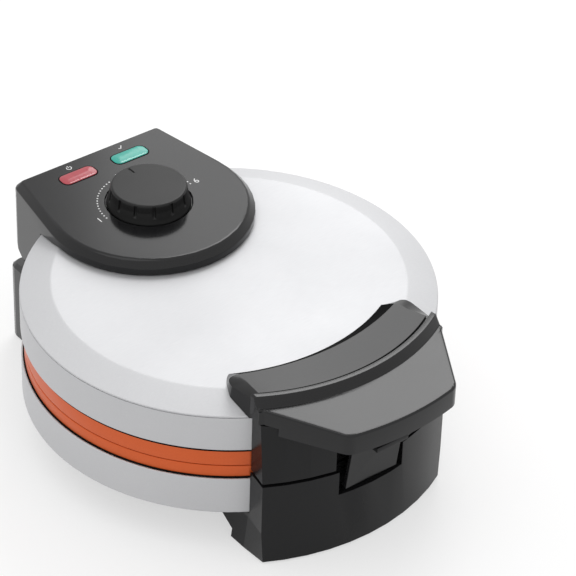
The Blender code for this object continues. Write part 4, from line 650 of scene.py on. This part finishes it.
def make_lens_shade(name, side):
    """Painted shade round a lens: a dark, non-reflecting ring on the panel standing in for the shade in the
    recess round it, a closed section of (inset, height) carried round the lens's outline.
    """
    section = ((-0.7, 0.0), (-0.7, 0.16), (-1.35, 0.16), (-1.45, 0.08), (-1.45, 0.0), (-0.7, 0.0))
    rows = [lens_ring(side, inset, PANEL_TOP - 0.04 + height) for inset, height in section]
    make_piece(name, [(np.array(rows), True)], PAINTED_SHADE_BLACK, "lid")


def flat_ring(centre, inner, outer, start, end):
    """Printed ring's sector between two radii, from one angle to another in degrees."""
    angle = np.radians(np.linspace(start, end, 40))
    section = [(inner, PRINT_BOTTOM), (outer, PRINT_BOTTOM), (outer, PRINT_TOP), (inner, PRINT_TOP),
               (inner, PRINT_BOTTOM)]
    rows = [np.stack([centre[0] + r * np.cos(angle), centre[1] + r * np.sin(angle), 0 * angle + z], axis=-1)
            for r, z in section]
    return np.array(rows)


def flat_bar(first, last, wide):
    """Printed stroke of one width between two points."""
    first, last = np.array(first, float), np.array(last, float)
    along = (last - first) / np.linalg.norm(last - first)
    across = np.array([-along[1], along[0]]) * wide / 2
    loop = np.array([first - across, last - across, last + across, first + across])
    middle = loop * 0 + loop.mean(axis=0)
    levels = ((middle, PRINT_BOTTOM), (loop, PRINT_BOTTOM), (loop, PRINT_TOP), (middle, PRINT_TOP))
    return np.array([np.column_stack([row, np.full(4, height)]) for row, height in levels])


def make_dial_marks():
    """Printed dial: small dots on a half circle round the knob, a stroke at the top, a ring with a stroke by
    one lamp and a tick by the other."""
    dot = np.array([(0, PRINT_BOTTOM), (DOT_RADIUS, PRINT_BOTTOM), (DOT_RADIUS, PRINT_TOP), (0, PRINT_TOP)])
    grids = []
    for heading in range(180, -1, -DOT_STEP_DEG):
        angle = math.radians(heading)
        place = (DOT_CIRCLE * math.cos(angle), KNOB_Y + DOT_CIRCLE * math.sin(angle))
        grids.append((turned(dot, DOT_SIDES, place), True))
    grids += [(flat_bar((0, KNOB_Y + STROKE_FROM), (0, KNOB_Y + STROKE_TO), STROKE_WIDE), True),
              (flat_ring((-16.5, 118.4), 1.15, 1.6, 130, 410), False),
              (flat_bar((-16.5, 118.5), (-16.5, 120.4), 0.45), True),
              (flat_bar((15.2, 118.3), (16.2, 117.3), 0.5), True),
              (flat_bar((16.0, 117.25), (18.0, 119.9), 0.5), True)]
    make_piece("dial_marks", grids, PRINT_WHITE, "lid")


def make_number(text, x, y):
    """A plain figure of the dial as a thin flat mesh on the panel."""
    curve = bpy.data.curves.new("figure_" + text, 'FONT')
    curve.body = text
    curve.size = FIGURE_SIZE * MM
    curve.extrude = FIGURE_HALF_THICK * MM
    curve.align_x = 'CENTER'
    curve.align_y = 'CENTER'
    holder = bpy.data.objects.new("figure_" + text, curve)
    bpy.context.scene.collection.objects.link(holder)
    bpy.context.view_layer.update()
    mesh = bpy.data.meshes.new_from_object(holder.evaluated_get(bpy.context.evaluated_depsgraph_get()))
    bpy.data.objects.remove(holder)
    mesh.transform(Matrix.Translation(Vector((x, y + AXIS_Y, PANEL_TOP)) * MM))
    tidy_mesh(mesh, CREASE_DEG)
    dress(bpy.data.objects.new("figure_" + text, mesh), PRINT_WHITE, "lid")


# Handle

def corner_middle():
    """Middle of the lip's round front corner on the right, as (x, distance forward)."""
    slide = math.sqrt((LIP_REACH - LIP_ROUND) ** 2 - (SIDE_REACH - LIP_ROUND) ** 2)
    return np.array([(SIDE_REACH - LIP_ROUND) * math.cos(LEAN) - slide * math.sin(LEAN),
                     (SIDE_REACH - LIP_ROUND) * math.sin(LEAN) + slide * math.cos(LEAN)])


def lip_half_width(radius, inset):
    """Half width of the lip, drawn in all round by an inset, on a circle about the plates' axis. The leaning
    side cuts the circle: x = s cos L - sqrt(r^2 - s^2) sin L. Near the front the corner's own circle does,
    and behind, the ear and the ridge's end do."""
    side = SIDE_REACH - inset
    straight = side * math.cos(LEAN) - np.sqrt(np.maximum(radius ** 2 - side ** 2, 0)) * math.sin(LEAN)
    middle, reach, bend = corner_middle(), LIP_REACH - LIP_ROUND, LIP_ROUND - inset
    touch = math.hypot(middle[0] + bend * math.cos(LEAN), middle[1] + bend * math.sin(LEAN))
    cosine = (radius ** 2 + reach ** 2 - bend ** 2) / (2 * radius * reach)
    corner = radius * np.sin(math.atan2(middle[0], middle[1]) + np.arccos(np.clip(cosine, -1, 1)))
    front = np.where(radius < touch, straight, corner)
    tip, root = math.hypot(*EAR_TIP), math.hypot(*EAR_ROOT)
    ridge_end = np.minimum(RIDGE_HALF + RIDGE_FLARE * (radius - RIDGE_BACK), EAR_TIP[0]) - inset
    step = EAR_TIP[0] + (EAR_ROOT[0] - EAR_TIP[0]) * (radius - tip) / (root - tip)
    return np.where(radius <= tip, ridge_end, np.where(radius < root, step - inset, front))


def edge_distance(x, y):
    """How far a point of the lip's plan lies inside its outline: the least of its distances from the front
    circle, the leaning sides and the ends, and in a corner's wedge from the corner's circle."""
    reach, ahead = np.hypot(x, y), -y
    normal = (math.cos(LEAN), math.sin(LEAN))
    side = SIDE_REACH - np.abs(x) * normal[0] - ahead * normal[1]
    end = RIDGE_HALF + RIDGE_FLARE * (np.clip(reach, RIDGE_BACK, RIDGE_FRONT) - RIDGE_BACK) - np.abs(x)
    edge = np.where(reach < LIP_FROM, end, side)
    edge = np.minimum(edge, LIP_REACH - reach)
    middle = corner_middle()
    from_x, from_y = np.abs(x) - middle[0], ahead - middle[1]
    wedge = (from_y * normal[0] - from_x * normal[1] > 0) & (from_x * middle[1] - from_y * middle[0] > 0)
    return np.where(wedge & (reach > CORNER_FROM), LIP_ROUND - np.hypot(from_x, from_y), edge)


def lip_shell():
    """The ridge and the lip: rows are arcs about the plates' axis, and columns run across them, crowding
    at the outline. The top's height follows the section by radius and falls at the outline by
    e - sqrt(e^2 - (e - d)^2), e being the edge's radius and d the distance from the outline. Below, the
    height steps between the seat, the skirt and the pocket on doubled rows and columns, which make their
    walls upright."""
    fall = LIP_EDGE * (1 - np.cos(np.linspace(0, math.pi / 2, 8)))
    section = eased_path([(RIDGE_BACK, SADDLE_Z, 0), (RIDGE_BACK + 0.05, RIDGE_Z, 0.3),
                          (RIDGE_CREST, RIDGE_Z, 0.45), (RIDGE_FOOT, LIP_BACK_Z, 0.8),
                          (LIP_REACH + 1, LIP_FRONT_Z, 0)], steps=6)
    rows = np.concatenate([section[:-1, 0],
                           [RIDGE_FRONT, LIP_FROM, math.hypot(*EAR_TIP), math.hypot(*EAR_ROOT), 115.4,
                            POCKET_FROM, POCKET_FROM, SKIRT_FROM, SKIRT_FROM],
                           np.linspace(121, 134, LIP_ROWS), np.linspace(134.6, LIP_INNER, LIP_ROWS),
                           [LIP_INNER], LIP_REACH - fall[::-1]])
    radius = np.sort(rows)[:, None]
    outer = lip_half_width(radius, 0.0)
    inner = np.minimum(lip_half_width(np.minimum(radius, LIP_INNER), LIP_WALL), outer - LEAST_RIM)
    rim = np.concatenate([fall, [LIP_WALL]]) / LIP_WALL
    x = np.concatenate([-outer + (outer - inner) * rim, inner * crowded(LIP_COLUMNS),
                        outer - (outer - inner) * rim[::-1]], axis=1)
    y = -np.sqrt(radius ** 2 - x ** 2)
    short = np.clip(LIP_EDGE - np.maximum(edge_distance(x, y), 0), 0, LIP_EDGE)
    drop = LIP_EDGE - np.sqrt(LIP_EDGE ** 2 - short ** 2)
    top = np.interp(radius + 0 * x, section[:, 0], section[:, 1]) - drop
    row = np.arange(len(radius))[:, None]
    column = np.arange(x.shape[1])[None]
    skirt_row = np.flatnonzero(radius[:, 0] == SKIRT_FROM)[1]
    pocket_row = np.flatnonzero(radius[:, 0] == POCKET_FROM)[1]
    front_row = np.flatnonzero(radius[:, 0] == LIP_INNER)[0]
    under = np.where(row >= skirt_row, SKIRT_Z, LIP_UNDER)
    across = (column >= len(rim)) & (column < x.shape[1] - len(rim))
    under = np.where(across & (row >= pocket_row) & (row <= front_row), POCKET_Z, under)
    over = np.stack([x, y, top], axis=-1)
    below = np.stack([x, y, under], axis=-1)
    walls = [np.stack([over[0], below[0]]), np.stack([over[-1], below[-1]]),
             np.stack([over[:, 0], below[:, 0]]), np.stack([over[:, -1], below[:, -1]])]
    return [over, below] + walls


def saddle_end(share, level):
    """The right end's outline at a level, from the inner edge round the corner to the ridge: a quadratic
    curve into the corner, then a straight end. At the top it is the edge of the end's facet."""
    start, knee, stop, last = np.array(END_OUTLINE[level])
    turn = np.clip(share / CURVE_SHARE, 0, 1)[:, None]
    bend = (1 - turn) ** 2 * start + 2 * turn * (1 - turn) * knee + turn ** 2 * stop
    along = np.clip((share - CURVE_SHARE) / (1 - CURVE_SHARE), 0, 1)[:, None]
    return bend + along * (last - stop)


def inner_edge(level):
    """The saddle's inner edge at a level: an arc about a point on the middle line."""
    half, centre, bend, height = INNER_EDGE[level]
    x = half * crowded(SADDLE_COLUMNS)
    return np.stack([x, centre - np.sqrt(bend ** 2 - x ** 2), height + 0 * x], axis=-1)


def saddle_sheet(level):
    """The saddle's top or foot and the outline of its right end: ruled from the inner edge to a circle just
    behind the ridge; then a narrow groove is carried round on that circle, each row's plan scaled by its
    radius."""
    near = inner_edge(level)
    x = FAR_HALF * crowded(SADDLE_COLUMNS)
    far = np.stack([x, -np.sqrt(GROOVE_FROM ** 2 - x ** 2), FAR_Z[level] + 0 * x], axis=-1)
    share = np.linspace(0, 1, SADDLE_ROWS)
    sheet = near[None] + share[:, None, None] * (far - near)[None]
    outline = saddle_end(share, level)
    corner = outline[-1]
    for radius, drop in ((GROOVE_FROM + 0.15, 0.12), (GROOVE_FROM + 0.2, GROOVE_DEPTH),
                         (GROOVE_TO, GROOVE_DEPTH)):
        scale = (radius / GROOVE_FROM, radius / GROOVE_FROM, 1)
        ahead = (radius - GROOVE_FROM) * (1 - 0.5 * level)
        fall = (0, 0, drop * (1 - level))
        sheet = np.concatenate([sheet, (far * scale - fall)[None]])
        outline = np.concatenate([outline, (corner - (0, ahead, 0) - fall)[None]])
    return sheet, outline


def saddle_shell():
    """The saddle on the lid: its top with the groove, its foot, a facet at each end from the sheet's end line
    to the end's outline, and walls between the levels. The long inner slope is a piece of its own."""
    grids, rims, backs = [], [], []
    for level in (TOP, FOOT):
        sheet, outline = saddle_sheet(level)
        line = sheet[:, -1]
        right = line[None] + np.linspace(0, 1, FACET_COLUMNS)[:, None, None] * (outline - line)[None]
        left = right * (-1, 1, 1)
        grids += [sheet, right, left]
        rims.append(outline)
        backs.append(np.concatenate([left[::-1, -1], sheet[-1][1:-1], right[:, -1]]))
    end = np.stack(rims)
    return grids + [end, end * (-1, 1, 1), np.stack(backs)]


def make_inner_slope():
    """The saddle's long inner slope, ruled from the top's inner edge down to its foot on the lid. It takes
    the non-reflecting black, painted shade that keeps it dark instead of showing the grip's gloss.
    """
    edge, foot = inner_edge(TOP), inner_edge(FOOT)
    slope = edge[None] + np.linspace(0, 1, SLOPE_ROWS)[:, None, None] * (foot - edge)[None]
    make_piece("grip_slope", [(slope, False)], PAINTED_SHADE_BLACK, "lid")


def make_grip():
    """The lid's handle: the ridge and lip, and the saddle whose front runs into the ridge."""
    grids = [(grid, False) for grid in lip_shell() + saddle_shell()]
    make_piece("grip", grids, GLOSS_BLACK, "lid", ("lid_handle",), crease=GRIP_CREASE_DEG)


# What the scene holds

make_lid_shell()
make_base_band()
# Dark rings of painted shade under the lid's band and over the base band's hem.
make_shade_ring("lid_shade_ring", "lid", [(103.6, 62.8), (104.3, 61.05), (104.62, 61.05), (104.75, 62.8)])
make_shade_ring("base_shade_ring", "base",
          [(104.2, 44.6), (105.15, 44.6), (105.15, 45.0), (104.62, 45.55), (104.2, 45.55)])
make_cooking_plate("cooking_plate_low", "lower_plate", "base", LOWER_FACE, 1, LOWER_SKIRT_END, True)
make_cooking_plate("cooking_plate_high", "upper_plate", "lid", UPPER_FACE, -1, UPPER_SKIRT_END, False)
make_knob()
make_lens("lamp_lens_red", "power_lens", -1, RED_LENS)
make_lens("lamp_lens_green", "ready_lens", 1, GREEN_LENS)
# Dark rings of painted shade round the lenses.
make_lens_shade("lens_shade_red", -1)
make_lens_shade("lens_shade_green", 1)
make_dial_marks()
make_number("1", -30.6, KNOB_Y + 0.4)
make_number("6", 30.8, KNOB_Y + 0.4)
make_grip()
# The grip's inner slope, in painted shade.
make_inner_slope()
eased_copy("control_housing", "panel_housing", 0.45, GLOSS_BLACK, "lid", panel_edge)
eased_copy("handle_block", "front_block", 0.5, SATIN_BLACK, "lid")
eased_copy("front_foot", "front_leg", 0.5, SATIN_BLACK, "base")
eased_copy("rear_housing", "rear_leg", 0.5, REAR_BLACK, "base")
eased_copy("latch", "latch_tab", 0.35, SATIN_BLACK, "latch")

SOLID_FINISHES = {
    "base_pan": MATTE_BLACK, "cord_gland": RUBBER, "terminal_block": CERAMIC, "lamp_board": BOARD,
    "lower_heater": HEATER_TUBE, "upper_heater": HEATER_TUBE, "thermostat": PLATED_SHEET,
    "lower_reflector": PLATED_SHEET, "upper_reflector": PLATED_SHEET,
    "power_lamp": LAMP_GLASS, "ready_lamp": LAMP_GLASS,
}
for solid_name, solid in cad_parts.items():
    chosen = SOLID_FINISHES.get(solid_name, RUBBER if solid_name.startswith("pad_") else PIN_STEEL)
    solid.data.materials.clear()
    solid.data.materials.append(chosen)


# Floor, light and camera

def background_seen(tree):
    """1 where the camera, gloss or clear material looks at the background, 0 where it lights the object."""
    path = tree.nodes.new("ShaderNodeLightPath")
    seen = path.outputs["Is Camera Ray"]
    for label in ("Is Glossy Ray", "Is Transmission Ray"):
        wider = node(tree, "ShaderNodeMath", operation='MAXIMUM')
        tree.links.new(seen, wider.inputs[0])
        tree.links.new(path.outputs[label], wider.inputs[1])
        seen = wider.outputs[0]
    return seen


def make_floor():
    """A large pale floor: plain paint that takes the object's shadow, lifted towards white where it is
    seen."""
    half = FLOOR_HALF
    mesh = bpy.data.meshes.new("floor")
    mesh.from_pydata([(-half, -half, 0), (half, -half, 0), (half, half, 0), (-half, half, 0)], [],
                     [(0, 1, 2, 3)])
    floor = bpy.data.objects.new("floor", mesh)
    bpy.context.scene.collection.objects.link(floor)
    paint = bpy.data.materials.new("floor_white")
    paint.use_nodes = True
    tree = paint.node_tree
    shader = tree.nodes["Principled BSDF"]
    shader.inputs["Base Color"].default_value = (FLOOR_GREY, FLOOR_GREY, FLOOR_GREY, 1)
    shader.inputs["Roughness"].default_value = 0.9
    shader.inputs["Specular IOR Level"].default_value = 0.1
    white = node(tree, "ShaderNodeEmission", {"Color": WHITE, "Strength": 1.0})
    share = node(tree, "ShaderNodeMath", {1: FLOOR_LIFT}, operation='MULTIPLY')
    mix = tree.nodes.new("ShaderNodeMixShader")
    out = tree.nodes["Material Output"]
    tree.links.new(background_seen(tree), share.inputs[0])
    tree.links.new(share.outputs[0], mix.inputs["Fac"])
    tree.links.new(shader.outputs["BSDF"], mix.inputs[1])
    tree.links.new(white.outputs["Emission"], mix.inputs[2])
    tree.links.new(mix.outputs["Shader"], out.inputs["Surface"])
    mesh.materials.append(paint)


def add_softbox(name, place, aim, size, power):
    """A rectangular area lamp at a place, facing a point."""
    lamp = bpy.data.lights.new(name, 'AREA')
    lamp.shape = 'RECTANGLE'
    lamp.size, lamp.size_y = size
    lamp.energy = power
    holder = bpy.data.objects.new(name, lamp)
    bpy.context.scene.collection.objects.link(holder)
    holder.location = place
    holder.rotation_euler = (Vector(aim) - Vector(place)).to_track_quat('-Z', 'Y').to_euler()


def make_world():
    """Pale studio: white where it is seen or mirrored, a little lower where it lights the object."""
    world = bpy.data.worlds.new("studio")
    bpy.context.scene.world = world
    world.use_nodes = True
    tree = world.node_tree
    tree.nodes.clear()
    out = tree.nodes.new("ShaderNodeOutputWorld")
    seen = node(tree, "ShaderNodeBackground", {"Color": WHITE, "Strength": 1.0})
    lit = node(tree, "ShaderNodeBackground", {"Color": WHITE, "Strength": AMBIENT})
    mix = tree.nodes.new("ShaderNodeMixShader")
    tree.links.new(background_seen(tree), mix.inputs["Fac"])
    tree.links.new(lit.outputs["Background"], mix.inputs[1])
    tree.links.new(seen.outputs["Background"], mix.inputs[2])
    tree.links.new(mix.outputs["Shader"], out.inputs["Surface"])


def make_camera():
    """The photograph's view, from the left of the front and well above the table."""
    azimuth, elevation = math.radians(CAMERA_AZIMUTH), math.radians(CAMERA_ELEVATION)
    roll = math.radians(CAMERA_ROLL)
    right = Vector((math.cos(azimuth), math.sin(azimuth), 0))
    rising = Vector((-math.sin(azimuth) * math.sin(elevation), math.cos(azimuth) * math.sin(elevation),
                     math.cos(elevation)))
    back = right.cross(rising)
    rolled_right = math.cos(roll) * right + math.sin(roll) * rising
    rolled_up = -math.sin(roll) * right + math.cos(roll) * rising
    lens = bpy.data.cameras.new("camera")
    lens.lens = LENS_MM
    lens.sensor_width = SENSOR_MM
    lens.clip_start = NEAREST_SEEN
    lens.clip_end = FARTHEST_SEEN
    holder = bpy.data.objects.new("camera", lens)
    bpy.context.scene.collection.objects.link(holder)
    turn = Matrix((rolled_right, rolled_up, back)).transposed().to_4x4()
    holder.matrix_world = Matrix.Translation(CAMERA_PLACE) @ turn
    bpy.context.scene.camera = holder


make_floor()
make_world()
make_camera()
add_softbox("lip_softbox", place=(0.50, 0.41, 0.79), aim=(0, -0.115, 0.093), size=(0.42, 0.30), power=2.15)
add_softbox("saddle_softbox", place=(0.62, 0.66, 0.60), aim=(0, -0.09, 0.096), size=(0.42, 0.26), power=0.65)
add_softbox("top_softbox", place=(-0.5, 0.1, 1.7), aim=(0, 0, 0.05), size=(1.0, 1.0), power=3.0)
bpy.context.scene.view_settings.view_transform = 'Standard'

bpy.context.view_layer.update()
